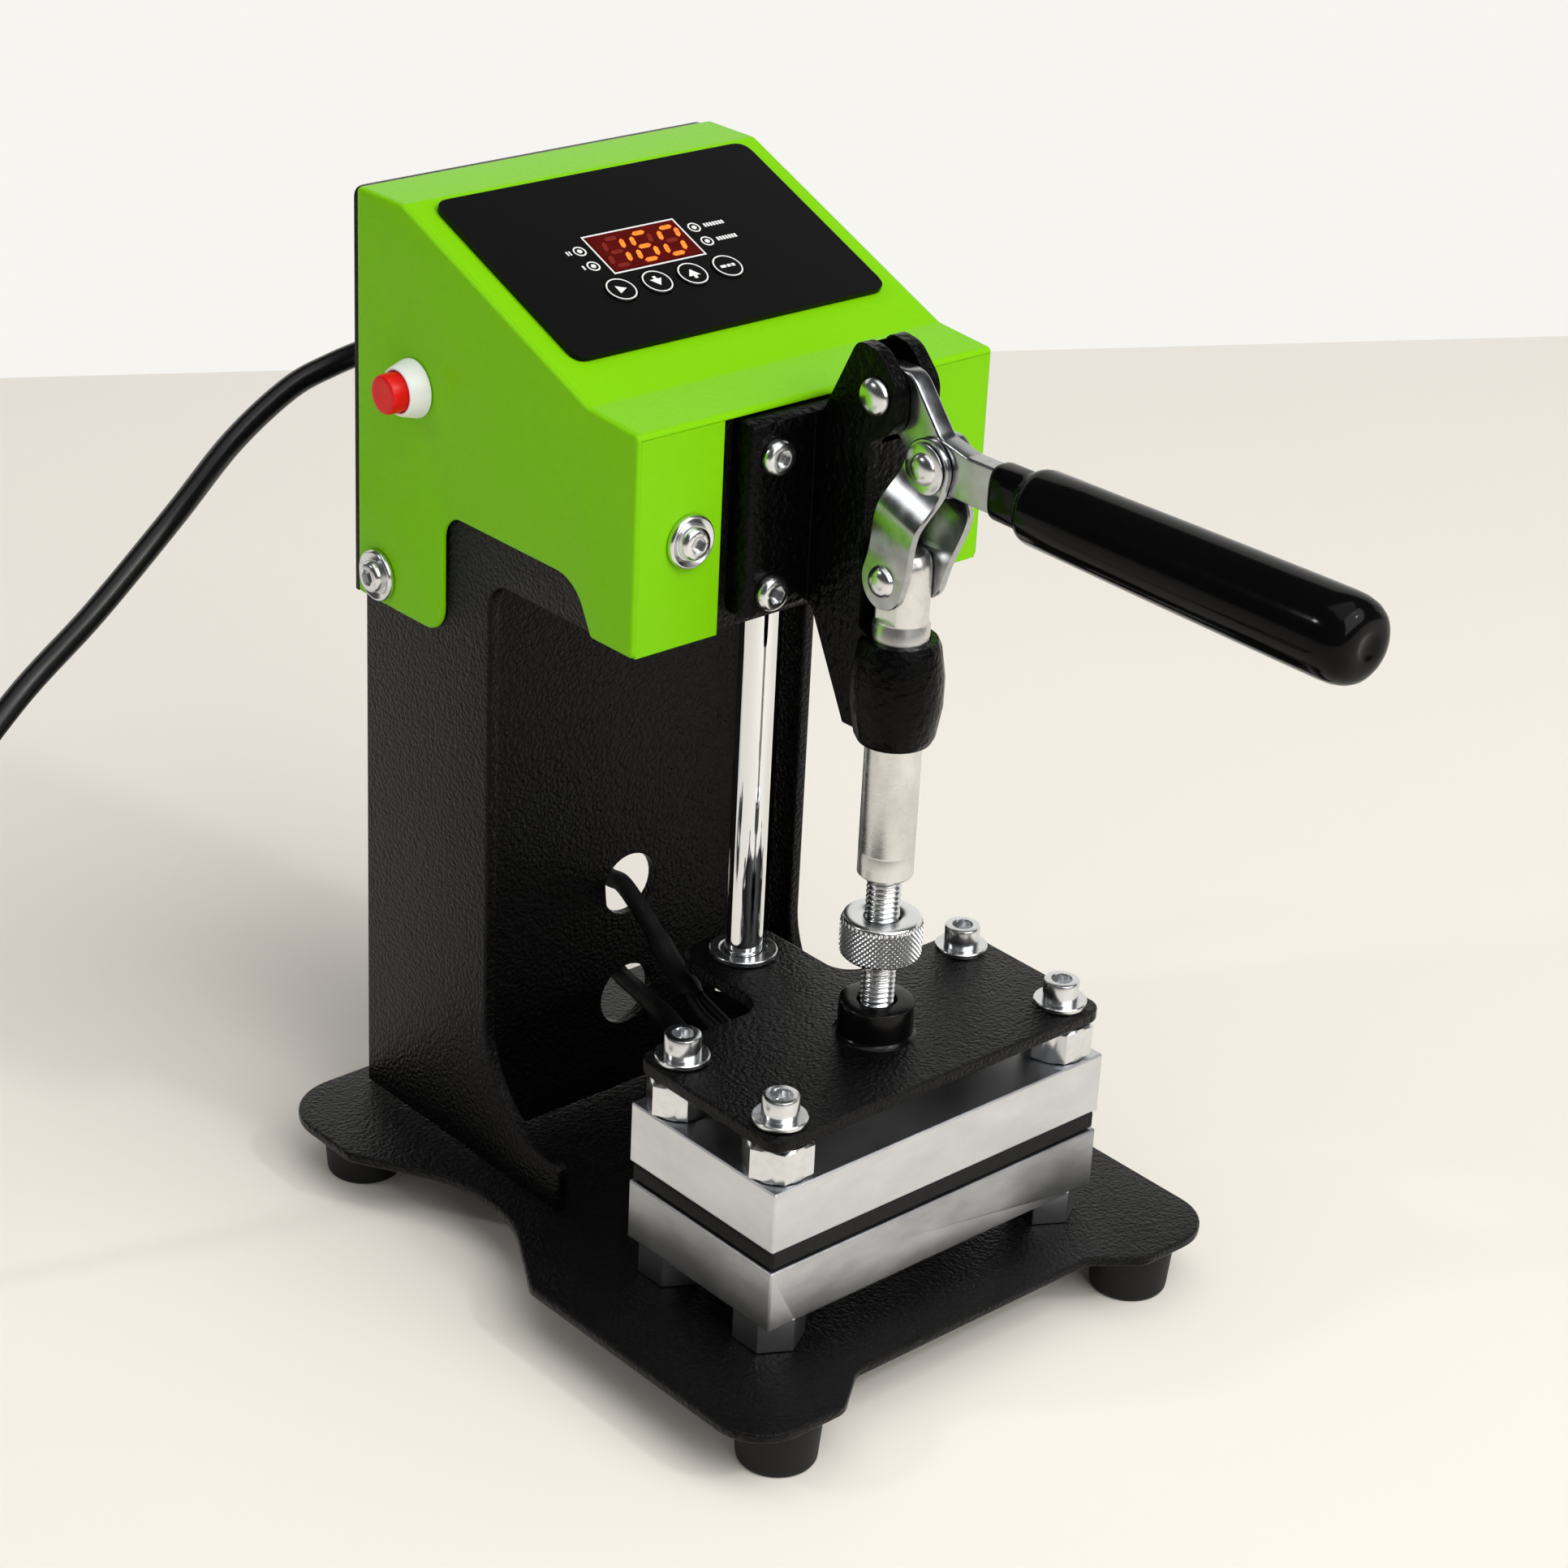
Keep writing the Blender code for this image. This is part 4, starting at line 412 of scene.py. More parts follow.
# Welded column
# Two C-shaped side plates with a flared foot, a web between them with a hole
# for each heater cable, and the angle that carries the clamp. All share the
# base plate's powder coat.
sweep_angle = np.radians(np.linspace(0.0, -84.0, 25))
flare = [(64.0 + 31.0 * math.cos(a), 64.3 + 31.0 * math.sin(a), 0.0) for a in sweep_angle]
side_corners = [(151.0, 19.6, 0.0), (151.0, 228.0, 7.0), (35.8, 228.0, 7.0), (35.8, 197.0, 0.0),
                (95.0, 197.0, 7.0), *flare, (61.0, 33.3, 3.0), (61.0, 19.6, 0.0)]
side_inside, side_outside = 54.7, 58.7
for side, sign in sides:
    low, high = sorted((sign * side_inside, sign * side_outside))
    add_piece(f"leather_side_plate_{side}", *plate(rounded(side_corners), "X", low, high, 0.9),
              "frame", leather, "powder_black", f"side_plate_{side}")


def dress(material, *names, sharp=35.0):
    """CAD nodes that keep their shape: their loose triangles are welded and shaded smooth."""
    for name in names:
        node = nodes[name]
        node.data.materials.clear()
        node.data.materials.append(material)
        node.data.shade_smooth()
        weld = node.modifiers.new("weld", "WELD")
        weld.merge_threshold = 0.002 * mm
        split = node.modifiers.new("edges", "EDGE_SPLIT")
        split.split_angle = math.radians(sharp)


dress(leather, "column_web", "head_bracket")

# Guide bush
# A sintered bronze sleeve with a flange, pressed into the angle's floor.
bronze_paint = Paint("sintered_bronze")
bronze_speck = bronze_paint.noise(2500.0, 2.0)
bronze = bronze_paint.finish(
    Base_Color=bronze_paint.between(bronze_speck, (0.22, 0.13, 0.05), (0.5, 0.33, 0.15)), Metallic=1.0,
    Roughness=0.38 + 0.15 * bronze_speck, Normal=bronze_paint.relief(bronze_speck, 0.02))
dress(bronze, "guide_bush")

# Platens
# Two milled aluminium blocks with heater cartridges inside. The lower one
# stands on four hexagonal legs. The milling shows as fine streaks, with
# cloudy patches where the faces were wiped.


def milled_aluminium(name, streaks, dull, cloudy=38.0):
    """Metal whose streaks run along the axes that are stretched least, dull where it is cloudy."""
    paint = Paint(name)
    lines = paint.noise(60.0, 5.0, streaks, 0.65)
    cloud = paint.noise(cloudy, 4.0, (1.0, 1.0, 2.2), 0.6)
    return paint.finish(
        Base_Color=paint.between(cloud, dull, (0.85, 0.86, 0.88)), Metallic=1.0,
        Roughness=0.2 + 0.14 * lines + 0.12 * cloud,
        Normal=paint.relief(lines, 0.012, 0.5, 0.45))


fine_aluminium = milled_aluminium("milled_aluminium", (1.0, 1.0, 24.0), (0.5, 0.51, 0.53))
dress(fine_aluminium, "upper_platen")
wiped_aluminium = milled_aluminium("wiped_aluminium", (1.0, 1.0, 9.0), (0.12, 0.13, 0.15), 27.0)
dress(wiped_aluminium, "lower_platen")

# Silicone pad
# A black silicone rubber pad that lies between the platens.
pad_paint = Paint("silicone_pad")
pad_grain = pad_paint.noise(900.0, 4.0)
silicone = pad_paint.finish(
    Base_Color=(0.005, 0.005, 0.005), Specular_IOR_Level=0.3, Roughness=0.55 + 0.2 * pad_grain,
    Normal=pad_paint.relief(pad_grain, 0.08, 0.6, 0.7))
dress(silicone, "platen_pad")

# Spacers and platen bolts
# Zinc-plated hexagonal spacers, each clamped by a socket head bolt on a flat
# washer. The plating is bright with a faint cloudiness.


def zinc_plate(name, grain=450.0, dull=(0.6, 0.61, 0.62), bright=(0.86, 0.87, 0.88)):
    """Plated steel, duller where the noise is low."""
    paint = Paint(name)
    cloud = paint.noise(grain, 3.0, roughness=0.6)
    return paint.finish(
        Base_Color=paint.between(cloud, dull, bright), Metallic=1.0,
        Roughness=0.12 + 0.2 * cloud, Normal=paint.relief(cloud, 0.012, 0.5, 0.25))


zinc = zinc_plate("zinc_plate")
spacer_low, spacer_high, seat = 70.9, 80.9, 85.5
spacer_profile = [(0.0, spacer_low), (8.3, spacer_low), (8.5, spacer_low + 0.7, 1.0),
                  (8.5, spacer_high - 0.7, 1.0), (8.3, spacer_high), (0.0, spacer_high)]
bolt_profile = [(0.0, 62.7), (3.0, 62.7), (3.0, seat), (7.15, seat), (7.4, seat + 0.25), (7.4, seat + 1.25),
                (7.15, seat + 1.5), (4.95, seat + 1.5), (5.0, seat + 1.8), (5.0, seat + 6.9),
                (4.75, seat + 7.35), (4.3, seat + 7.5), (2.95, seat + 7.5), (2.6, seat + 7.1, 1.0),
                (2.6, seat + 4.6, 1.0), (0.0, seat + 4.2)]
bolt_across, bolt_along = 51.0, 19.5
for end, way in (("front", -1.0), ("back", 1.0)):
    for side, sign in sides:
        bolt_centre = (sign * bolt_across, way * bolt_along, 0.0)
        add_piece(f"hexagon_spacer_{end}_{side}", *turned(spacer_profile, "Z", bolt_centre),
                  "carriage", zinc, "zinc", f"standoff_{end}_{side}", sharp=25.0)
        add_piece(f"socket_bolt_{end}_{side}", *turned(bolt_profile, "Z", bolt_centre, 72),
                  "carriage", zinc, "zinc", f"platen_bolt_{end}_{side}")

# Pressure plate
# 4 mm plate with a tongue for the guide rod and a collar welded on for the
# screwed stud, coated like the base.
plate_low, plate_high = 81.2, 85.2
plate_half = [(60.0, -28.0, 5.0), (60.0, 28.0, 5.0), (15.0, 28.0, 8.0), (15.0, 67.0, 9.0)]
add_piece("leather_pressure_plate", *plate(rounded(mirrored(plate_half)), "Z", plate_low, plate_high, 0.8),
          "carriage", leather, "powder_black", "pressure_plate")
gloss_black = leather_black("gloss_black_enamel", 260.0, 0.08, 0.002, 0.2)
collar_profile = [(5.2, 86.0), (5.2, 94.7), (5.6, 95.2), (9.6, 95.2), (10.05, 94.95), (10.2, 94.4),
                  (10.2, 86.2), (10.7, 85.5), (11.4, 85.2), (11.4, 84.0), (5.2, 84.0)]
press_axis = (0.0, 0.0, 0.0)
add_piece("welded_collar", *turned(collar_profile, "Z", press_axis, 64, True),
          "carriage", gloss_black, "powder_black")

# Guide rod
# Hard-chromed 10 mm rod that keeps the platen from turning. A nut holds it
# under the tongue, and a thin washer lies on top.
chrome_paint = Paint("hard_chrome")
chrome_haze = chrome_paint.noise(30.0, 2.0, (1.0, 1.0, 0.3))
chrome = chrome_paint.finish(Base_Color=(0.8, 0.81, 0.82), Metallic=1.0, Roughness=0.035 + 0.04 * chrome_haze)
rod_profile = [(0.0, 78.4), (5.2, 78.4), (5.2, 225.2), (5.0, 225.8), (4.4, 226.0), (0.0, 226.0)]
rod_centre = (0.0, 54.0, 0.0)
add_piece("chromed_rod", *turned(rod_profile, "Z", rod_centre, 72), "carriage", chrome, "chrome", "guide_rod")
nut_profile = [(5.2, 75.9), (8.3, 75.9), (8.5, 76.5, 1.0), (8.5, 80.3, 1.0), (8.3, 80.9), (5.2, 80.9)]
add_piece("rod_nut", *turned(nut_profile, "Z", rod_centre, 48, True), "carriage", zinc, "zinc", sharp=25.0)
rod_washer_profile = [(5.5, seat), (9.3, seat), (9.5, seat + 0.2), (9.5, seat + 1.4), (9.3, seat + 1.6),
                      (6.9, seat + 1.6), (6.6, seat + 1.2), (5.5, seat + 1.2)]
add_piece("rod_washer_ring", *turned(rod_washer_profile, "Z", rod_centre, 64, True),
          "carriage", zinc, "zinc", "rod_washer")

# Adjuster
# A screwed stud between the collar and the plunger sets the pressure. The
# nut on it has a diamond knurl rolled into its rim.
pitch = 1.5


def threaded(low, high, radius, depth, segments=36, steps=8):
    """A rod whose radius falls by depth * |2 frac(height / pitch - turn) - 1| along a helix."""
    height = np.linspace(low, high, int((high - low) / pitch * steps) + 1)[:, None]
    turn = np.arange(segments)[None] / segments
    wave = np.abs(2.0 * ((height / pitch - turn) % 1.0) - 1.0)
    ends = np.clip(np.minimum(height - low, high - height) / pitch, 0.0, 1.0)
    reach = radius - depth * np.clip(1.15 * wave, 0.0, 1.0) - depth * (1.0 - ends)
    angle = 2.0 * math.pi * turn
    grid = along_axis("Z", press_axis, reach * np.cos(angle), reach * np.sin(angle), height)
    bottom = np.broadcast_to((0.0, 0.0, low), (1, segments, 3))
    top = np.broadcast_to((0.0, 0.0, high), (1, segments, 3))
    return np.concatenate([bottom, grid, top]), ring_faces(len(height) + 2, segments)


def knurled(profile, rim_low, rim_high, depth, starts=46):
    """A turned profile whose rim carries diamonds: two crossing waves of spiral grooves."""
    rows = np.array(profile, float)
    rim = np.linspace(rim_low, rim_high, 49)
    outside = rows[:, 0].max()
    rim_rows = np.column_stack([np.full(len(rim), outside), rim])
    rows = np.vstack([rows[rows[:, 1] < rim_low], rim_rows, rows[rows[:, 1] > rim_high]])
    segments = starts * 6
    turn = np.arange(segments)[None] / segments
    height = rows[:, 1:2]
    lead = 2.0 * math.pi * outside
    first = np.abs(2.0 * ((starts * (turn + height / lead)) % 1.0) - 1.0)
    second = np.abs(2.0 * ((starts * (turn - height / lead)) % 1.0) - 1.0)
    groove = depth * np.minimum(1.0, 1.3 * np.maximum(first, second) - 0.3)
    on_rim = (height >= rim_low) & (height <= rim_high)
    radius = rows[:, :1] - np.where(on_rim, groove, 0.0)
    angle = 2.0 * math.pi * turn
    grid = along_axis("Z", press_axis, radius * np.cos(angle), radius * np.sin(angle), height)
    return grid, ring_faces(len(rows), segments, True)


add_piece("threaded_stud", *threaded(87.5, 145.0, 4.7, 0.75), "adjuster", zinc, "zinc", "adjuster_stud",
          sharp=60.0)
nut_low, nut_high, nut_radius = 109.0, 120.5, 11.0
rim_low, rim_high = nut_low + 0.9, nut_high - 1.6
knurl_profile = [(5.0, nut_low), (10.0, nut_low), (10.5, nut_low + 0.5), (nut_radius, rim_low),
                 (nut_radius, rim_high), (10.5, nut_high - 0.7), (10.3, nut_high - 0.2), (9.9, nut_high),
                 (5.6, nut_high), (5.0, nut_high - 0.5)]
knurl_depth = 0.6
knurl_paint = Paint("rolled_knurl")
flat_place = knurl_paint.where((1.0, 1.0, 0.0))
from_axis = knurl_paint.node("VectorMath", {0: flat_place, 1: (0.0, plunger_axis_y * mm, 0.0)},
                             operation="SUBTRACT")
reach = knurl_paint.node("VectorMath", {0: from_axis}, "Value", operation="LENGTH")
crest = knurl_paint.node("MapRange", {"Value": reach, "From Min": (nut_radius - knurl_depth) * mm,
                                      "From Max": (nut_radius - 0.05) * mm})
above = knurl_paint.node("SeparateXYZ", {"Vector": knurl_paint.where()}, "Z")
on_rim = (above > rim_low * mm) * (1.0 - (above > rim_high * mm))
# The knurl's grooves are painted dark: painted shade in the recesses, while the crests and the nut's ends
# keep the bright steel.
knurl_groove_painted_shade = on_rim * (1.0 - crest)
knurl_steel = knurl_paint.finish(
    Base_Color=knurl_paint.between(knurl_groove_painted_shade, (0.78, 0.79, 0.8), (0.07, 0.07, 0.075)), Metallic=1.0,
    Roughness=0.22 + 0.3 * knurl_groove_painted_shade)
add_piece("knurled_ring", *knurled(knurl_profile, rim_low, rim_high, knurl_depth), "adjuster", knurl_steel,
          "zinc", "knurled_nut", sharp=50.0)

# Plunger
# Turned and ground steel, bored for the stud, with two flats milled above for
# the links. Handling left it with faint stains.
steel_paint = Paint("ground_steel")
rings = steel_paint.noise(40.0, 3.0, (1.0, 1.0, 40.0), 0.6)
stain = steel_paint.noise(110.0, 4.0, (1.0, 1.0, 0.7), 0.65)
steel = steel_paint.finish(
    Base_Color=steel_paint.between(stain, (0.5, 0.49, 0.47), (0.92, 0.92, 0.9)), Metallic=1.0,
    Roughness=0.16 + 0.12 * rings + 0.14 * stain, Normal=steel_paint.relief(rings, 0.008, 0.5, 0.4))
tang_low, tang_half = 206.0, 5.8
plunger_profile = [(0.0, 148.3), (5.0, 148.3), (5.0, 133.3), (5.3, 133.0), (7.0, 133.0), (7.5, 133.5),
                   (7.5, 139.6), (7.35, 139.9), (7.35, 140.3), (7.5, 140.6), (7.5, 196.0), (7.5, 204.4),
                   (7.0, 205.2), (7.0, 205.9), (7.0, tang_low), (7.0, 218.0), (6.9, 221.0), (6.2, 223.2),
                   (5.2, 224.1), (0.0, 224.1)]
plunger_grid, plunger_faces = turned(plunger_profile, "Z", press_axis, 96)
tang = plunger_grid[..., 2] > tang_low - 0.05
plunger_grid[..., 0] = np.where(tang, np.clip(plunger_grid[..., 0], -tang_half, tang_half),
                                plunger_grid[..., 0])
add_piece("ground_plunger", plunger_grid, plunger_faces, "plunger", steel, "steel", "plunger")

# Clamp body
# One malleable iron casting in thick black enamel: a flange, a spine with two
# ears, and a barrel that guides the plunger. The cast skin shows through.
cast_black = leather_black("cast_enamel", 520.0, 0.7, 0.001, 0.09)
dress(cast_black, "clamp_body", sharp=42.0)

# Clamp screws
# Four button head screws hold the flange to the angle.
flange_face = 27.7


def button_head(face, way, radius, height, shank):
    """Profile of a domed screw with a hexagonal socket: its shank runs along way from the face."""
    out = -way
    turn = np.radians(np.linspace(0.0, 62.0, 9))
    dome = [(radius - 0.62 * height + 0.62 * height * math.cos(a), face + out * (0.25 * height
            + 0.85 * height * math.sin(a))) for a in turn]
    top = dome[-1][1]
    return [(0.0, face + way * shank), (2.5, face + way * shank), (2.5, face), (radius, face), *dome,
            (radius * 0.52, top + out * 0.06 * height), (radius * 0.46, top + out * 0.04 * height, 1.0),
            (radius * 0.46, top - out * 0.55 * height, 1.0), (0.0, top - out * 0.65 * height)]


screw_across = 20.5
for side, sign in sides:
    for level, screw_z in (("low", 208.2), ("high", 245.0)):
        screw_centre = (sign * screw_across, 0.0, screw_z)
        add_piece(f"button_screw_{level}_{side}",
                  *turned(button_head(flange_face, 1.0, 4.8, 2.7, 10.0), "Y", screw_centre, 48),
                  "frame", zinc, "zinc", f"clamp_screw_{level}_{side}")

# Pivots
# Solid rivets with domed heads, on a thin washer at the knee.


def rivet(reach, head, height, shank=3.0):
    """Profile along X: a shank, and a dome at each end with r = head * cos and x = height * sin."""
    turn = np.radians(np.linspace(8.0, 90.0, 9))
    dome = [(head * math.cos(a) ** 0.8, reach + height * math.sin(a)) for a in turn[:-1]]
    dome = [(shank, reach), (head, reach), *dome, (head * 0.14, reach + height), (0.0, reach + height)]
    return [(radius, -x) for radius, x in reversed(dome)] + dome


pivot = (0.0, 6.8, 264.5)
knee = (0.0, -10.0, 250.3)
add_piece("pivot_rivet", *turned(rivet(7.6, 5.0, 2.6), "X", pivot), "frame", zinc, "zinc", "upper_pivot_pin")
add_piece("knee_rivet", *turned(rivet(5.4, 4.4, 2.6), "X", knee), "handle", zinc, "zinc", "knee_pin")
washer_profile = [(3.2, 5.42), (6.4, 5.42), (6.6, 5.6), (6.6, 5.85), (6.3, 6.05), (3.2, 6.05)]
for side, sign in sides:
    knee_washer = [(radius, sign * x) for radius, x in washer_profile]
    add_piece(f"knee_washer_{side}", *turned(knee_washer, "X", knee, 48, True), "handle", zinc, "zinc")

# Lever
# Stamped and zinc-plated bar, bent at the knee, with an eye at each pivot.
lever_corners = [(14.2, 271.9, 7.4), (-0.6, 271.9, 7.4), (-12.0, 258.3, 4.0), (-21.8, 256.3, 4.0),
                 (-47.0, 256.3, 0.0), (-47.0, 244.3, 0.0), (-17.4, 244.3, 4.0), (-13.7, 242.9, 2.0),
                 (-2.6, 242.9, 7.4), (0.4, 254.0, 7.4), (14.2, 257.1, 7.4)]
lever_bar = plate(rounded(lever_corners), "X", -2.8, 2.8, 0.7)
# A darker copy of the zinc plate for the lever and links: its dark base is painted dark reflection, over the
# plating's own cloudy tone.
zinc_painted_dark_reflection = zinc_plate("zinc_painted_dark_reflection", 260.0, (0.26, 0.27, 0.28), (0.6, 0.61, 0.62))
add_piece("stamped_lever", *lever_bar, "handle", zinc_painted_dark_reflection, "zinc", "handle_lever")

# Grip
# Dipped vinyl, glossy, with a flattened neck round the lever's bar and a
# dimple in its round end.
vinyl_paint = Paint("dipped_vinyl")
vinyl_wave = vinyl_paint.noise(45.0, 2.0)
vinyl = vinyl_paint.finish(
    Base_Color=vinyl_paint.between(vinyl_wave, (0.0015, 0.0015, 0.0017), (0.003, 0.003, 0.0033)),
    Roughness=0.08 + 0.08 * vinyl_paint.noise(300.0, 3.0), Specular_IOR_Level=0.1,
    Normal=vinyl_paint.relief(vinyl_wave, 0.15, 0.35, 0.3))
grip_sections = np.array([
    # y, half width, half height, squareness
    (-31.0, 2.9, 6.2, 3.5), (-31.0, 4.2, 6.7, 3.2), (-31.4, 4.7, 7.1, 3.0), (-32.4, 4.95, 7.3, 3.0),
    (-40.0, 5.1, 7.4, 2.9), (-42.0, 5.3, 7.5, 2.7), (-42.8, 6.3, 8.0, 2.3), (-43.2, 8.1, 8.9, 2.05),
    (-44.2, 9.2, 9.4, 2.0), (-46.0, 9.7, 9.7, 2.0), (-60.0, 9.9, 9.9, 2.0), (-90.0, 10.4, 10.4, 2.0),
    (-125.0, 10.85, 10.85, 2.0), (-138.0, 10.95, 10.95, 2.0), (-141.5, 10.8, 10.8, 2.0),
    (-144.0, 10.2, 10.2, 2.0), (-145.8, 9.2, 9.2, 2.0), (-146.9, 7.8, 7.8, 2.0), (-147.4, 6.0, 6.0, 2.0),
    (-147.5, 4.2, 4.2, 2.0), (-147.3, 3.2, 3.2, 2.0), (-146.9, 2.2, 2.2, 2.0), (-146.7, 0.0, 0.0, 2.0),
])
around = 2.0 * math.pi * np.arange(64)[None] / 64
power = 2.0 / grip_sections[:, 3:4]
cosine, sine = np.cos(around), np.sin(around)
grip_x = grip_sections[:, 1:2] * np.sign(cosine) * np.abs(cosine) ** power
grip_z = knee[2] + grip_sections[:, 2:3] * np.sign(sine) * np.abs(sine) ** power
grip_grid = np.stack(np.broadcast_arrays(grip_x, grip_sections[:, :1], grip_z), -1)
grip_faces = ring_faces(len(grip_sections), 64) + [list(range(64))]
add_piece("vinyl_grip", grip_grid, grip_faces, "handle", vinyl, "vinyl", "handle_grip", sharp=50.0)

# Links
# Two strips of plated steel from the knee to the plunger, bowed outwards, with
# round ends. A rivet holds each to the tang.
link_top = np.array([-10.0, 250.3])
link_bottom = np.array([0.0, 217.5])
link_length = float(np.linalg.norm(link_bottom - link_top))
link_along = (link_bottom - link_top) / link_length
link_across = np.array([-link_along[1], link_along[0]])


def eased(share):
    """0 to 1 with level ends: 3 s^2 - 2 s^3."""
    share = np.clip(share, 0.0, 1.0)
    return share * share * (3.0 - 2.0 * share)


def bowed_link(sign):
    """A strip along s: half width sqrt(r^2 - d^2) past each eye, distance from the middle by two eases."""
    end = 7.6
    at_knee, at_bow, at_tang = 3.1, 8.2, 6.1
    bend = np.radians(np.linspace(4.0, 86.0, 12))
    reach = np.concatenate([-end * np.cos(bend), np.linspace(0.0, link_length, 60),
                            (link_length + end * np.cos(bend))[::-1]])
    outside = np.maximum(np.maximum(-reach, reach - link_length), 0.0)
    half = np.sqrt(end ** 2 - outside ** 2)
    rise = eased((reach / link_length - 0.08) / 0.36)
    fall = eased((reach / link_length - 0.46) / 0.44)
    inner = at_knee + (at_bow - at_knee) * rise + (at_tang - at_bow) * fall
    thickness, edge = 2.0, 0.45
    section = np.array([(0.0, -1.0, edge), (0.0, 1.0, -edge), (edge, 1.0, 0.0), (thickness - edge, 1.0, 0.0),
                        (thickness, 1.0, -edge), (thickness, -1.0, edge), (thickness - edge, -1.0, 0.0),
                        (edge, -1.0, 0.0)])
    across = section[None, :, 1] * half[:, None] + section[None, :, 2]
    x = sign * (inner[:, None] + section[None, :, 0])
    place = (link_top[None, None] + link_along * reach[:, None, None] + link_across * across[..., None])
    grid = np.concatenate([x[..., None], place], -1)
    return grid, capped(len(reach), len(section))


for side, sign in sides:
    add_piece(f"bowed_link_{side}", *bowed_link(sign), "links", zinc_painted_dark_reflection, "zinc", f"link_{side}",
              sharp=30.0)
    lower = [(0.0, 7.9), (4.4, 7.9), *[(radius, x + 2.7) for radius, x in rivet(5.4, 4.2, 2.3)[-9:]]]
    lower_rivet = [(radius, sign * x) for radius, x in lower]
    add_piece(f"link_rivet_{side}", *turned(lower_rivet, "X", (0.0, *link_bottom)), "links", zinc, "zinc")

# Housing
# 1.5 mm sheet steel, folded and powder coated lime green. The coat is glossy
# with a faint orange peel.
green_paint = Paint("lime_powder_coat")
peel = green_paint.noise(330.0, 2.0)
lime = green_paint.finish(
    Base_Color=green_paint.between(green_paint.noise(12.0, 2.0), (0.18, 0.525, 0.002), (0.2, 0.565, 0.003)),
    Roughness=0.25 + 0.06 * peel, Specular_IOR_Level=0.08, Normal=green_paint.relief(peel, 0.03, 0.4, 0.3))
fold = 1.5
hood_side, hood_inside, notch_half = 60.5, 59.3, 32.5
hood_front, front_low, notch_top = 34.0, 197.0, 255.0
slope_foot, slope_top = (54.0, 258.0), (132.0, 290.0)
hood_back, hood_low, arch_back, arch_top = 152.0, 175.3, 113.3, 210.7
hood_corners = [(hood_front, front_low, fold), (hood_front, notch_top + fold, fold), (*slope_foot, 6.0),
                (*slope_top, 3.0), (hood_back, slope_top[1], fold), (hood_back, hood_low, fold),
                (arch_back, hood_low, 8.0), (arch_back, arch_top, 7.0), (58.0, arch_top, 12.0),
                (51.0, front_low, 2.0)]
hood_outline = rounded(hood_corners)
for side, sign in sides:
    low, high = sorted((sign * hood_side, sign * hood_inside))
    edges, stands_for = ((1.1, 0.0), ["housing"]) if side == "left" else ((0.0, 1.1), [])
    add_piece(f"hood_wall_{side}", *plate(hood_outline, "X", low, high, *edges), "frame", lime, "green",
              *stands_for)
    low, high = sorted((sign * hood_inside, sign * notch_half))
    front = np.array([(low, front_low), (high, front_low), (high, notch_top), (low, notch_top)])
    add_piece(f"hood_front_{side}", *plate(front, "Y", hood_front, hood_front + fold, 0.0), "frame", lime,
              "green")
# The band is thinner than the fold's radius, so that the corners of its inner face stay apart.
band = hood_outline[hood_outline[:, 1] > notch_top - 0.01]
band_way = np.gradient(band, axis=0)
band_way /= np.linalg.norm(band_way, axis=1, keepdims=True)
band_wall = fold - 0.2
band_inside = band + band_wall * np.column_stack([band_way[:, 1], -band_way[:, 0]])
add_piece("hood_band", *plate(np.vstack([band, band_inside[::-1]]), "X", -hood_inside, hood_inside, 0.0),
          "frame", lime, "green")
satin_black = leather_black("satin_black_sheet", 900.0, 0.2)
dress(satin_black, "back_panel")

# Housing screws
# Button head screws on bright cup washers: one low on each side, one each side
# of the clamp.


def cup_screw(face, way):
    """Profile of a cup washer with a domed screw in it."""
    out = -way
    turn = np.radians(np.linspace(0.0, 90.0, 7))
    roll = [(6.5 + 0.8 * math.cos(a), face + out * (0.4 + 1.3 * math.sin(a))) for a in turn]
    screw = [(radius, face + out * 1.0 + (height - face)) for radius, height, *_ in
             button_head(face, way, 4.6, 2.7, 5.8)[3:]]
    six = [(*row[:2], 1.0) if index in (len(screw) - 3, len(screw) - 2) else row
           for index, row in enumerate(screw)]
    return [(0.0, face + way * 5.8), (2.5, face + way * 5.8), (2.5, face), (7.3, face), *roll,
            (5.4, face + out * 1.2), (4.9, face + out * 0.9), *six]


washer_gap = 0.3
side_screw_centre, front_screw_x, front_screw_z = (0.0, 142.0, 183.6), 43.0, 225.4
for side, sign in sides:
    side_screw = turned(cup_screw(sign * (hood_side + washer_gap), -sign), "X", side_screw_centre, 60)
    add_piece(f"side_cup_screw_{side}", *side_screw, "frame", zinc, "zinc", f"side_screw_{side}")
    front_centre = (sign * front_screw_x, 0.0, front_screw_z)
    front_screw = turned(cup_screw(hood_front - washer_gap, 1.0), "Y", front_centre, 60)
    add_piece(f"front_cup_screw_{side}", *front_screw, "frame", zinc, "zinc", f"front_screw_{side}")

# Control panel
# A printed black membrane on the slope, with a window for the three-digit
# display, four round keys and four small lamps. The marks are white ink.
slope = math.atan2(slope_top[1] - slope_foot[1], slope_top[0] - slope_foot[0])


def on_panel(x, y, height):
    """Places on the slope: x across, y up the slope, height off the sheet."""
    return np.stack(np.broadcast_arrays(x, slope_foot[0] + y * math.cos(slope) - height * math.sin(slope),
                                        slope_foot[1] + y * math.sin(slope) + height * math.cos(slope)), -1)


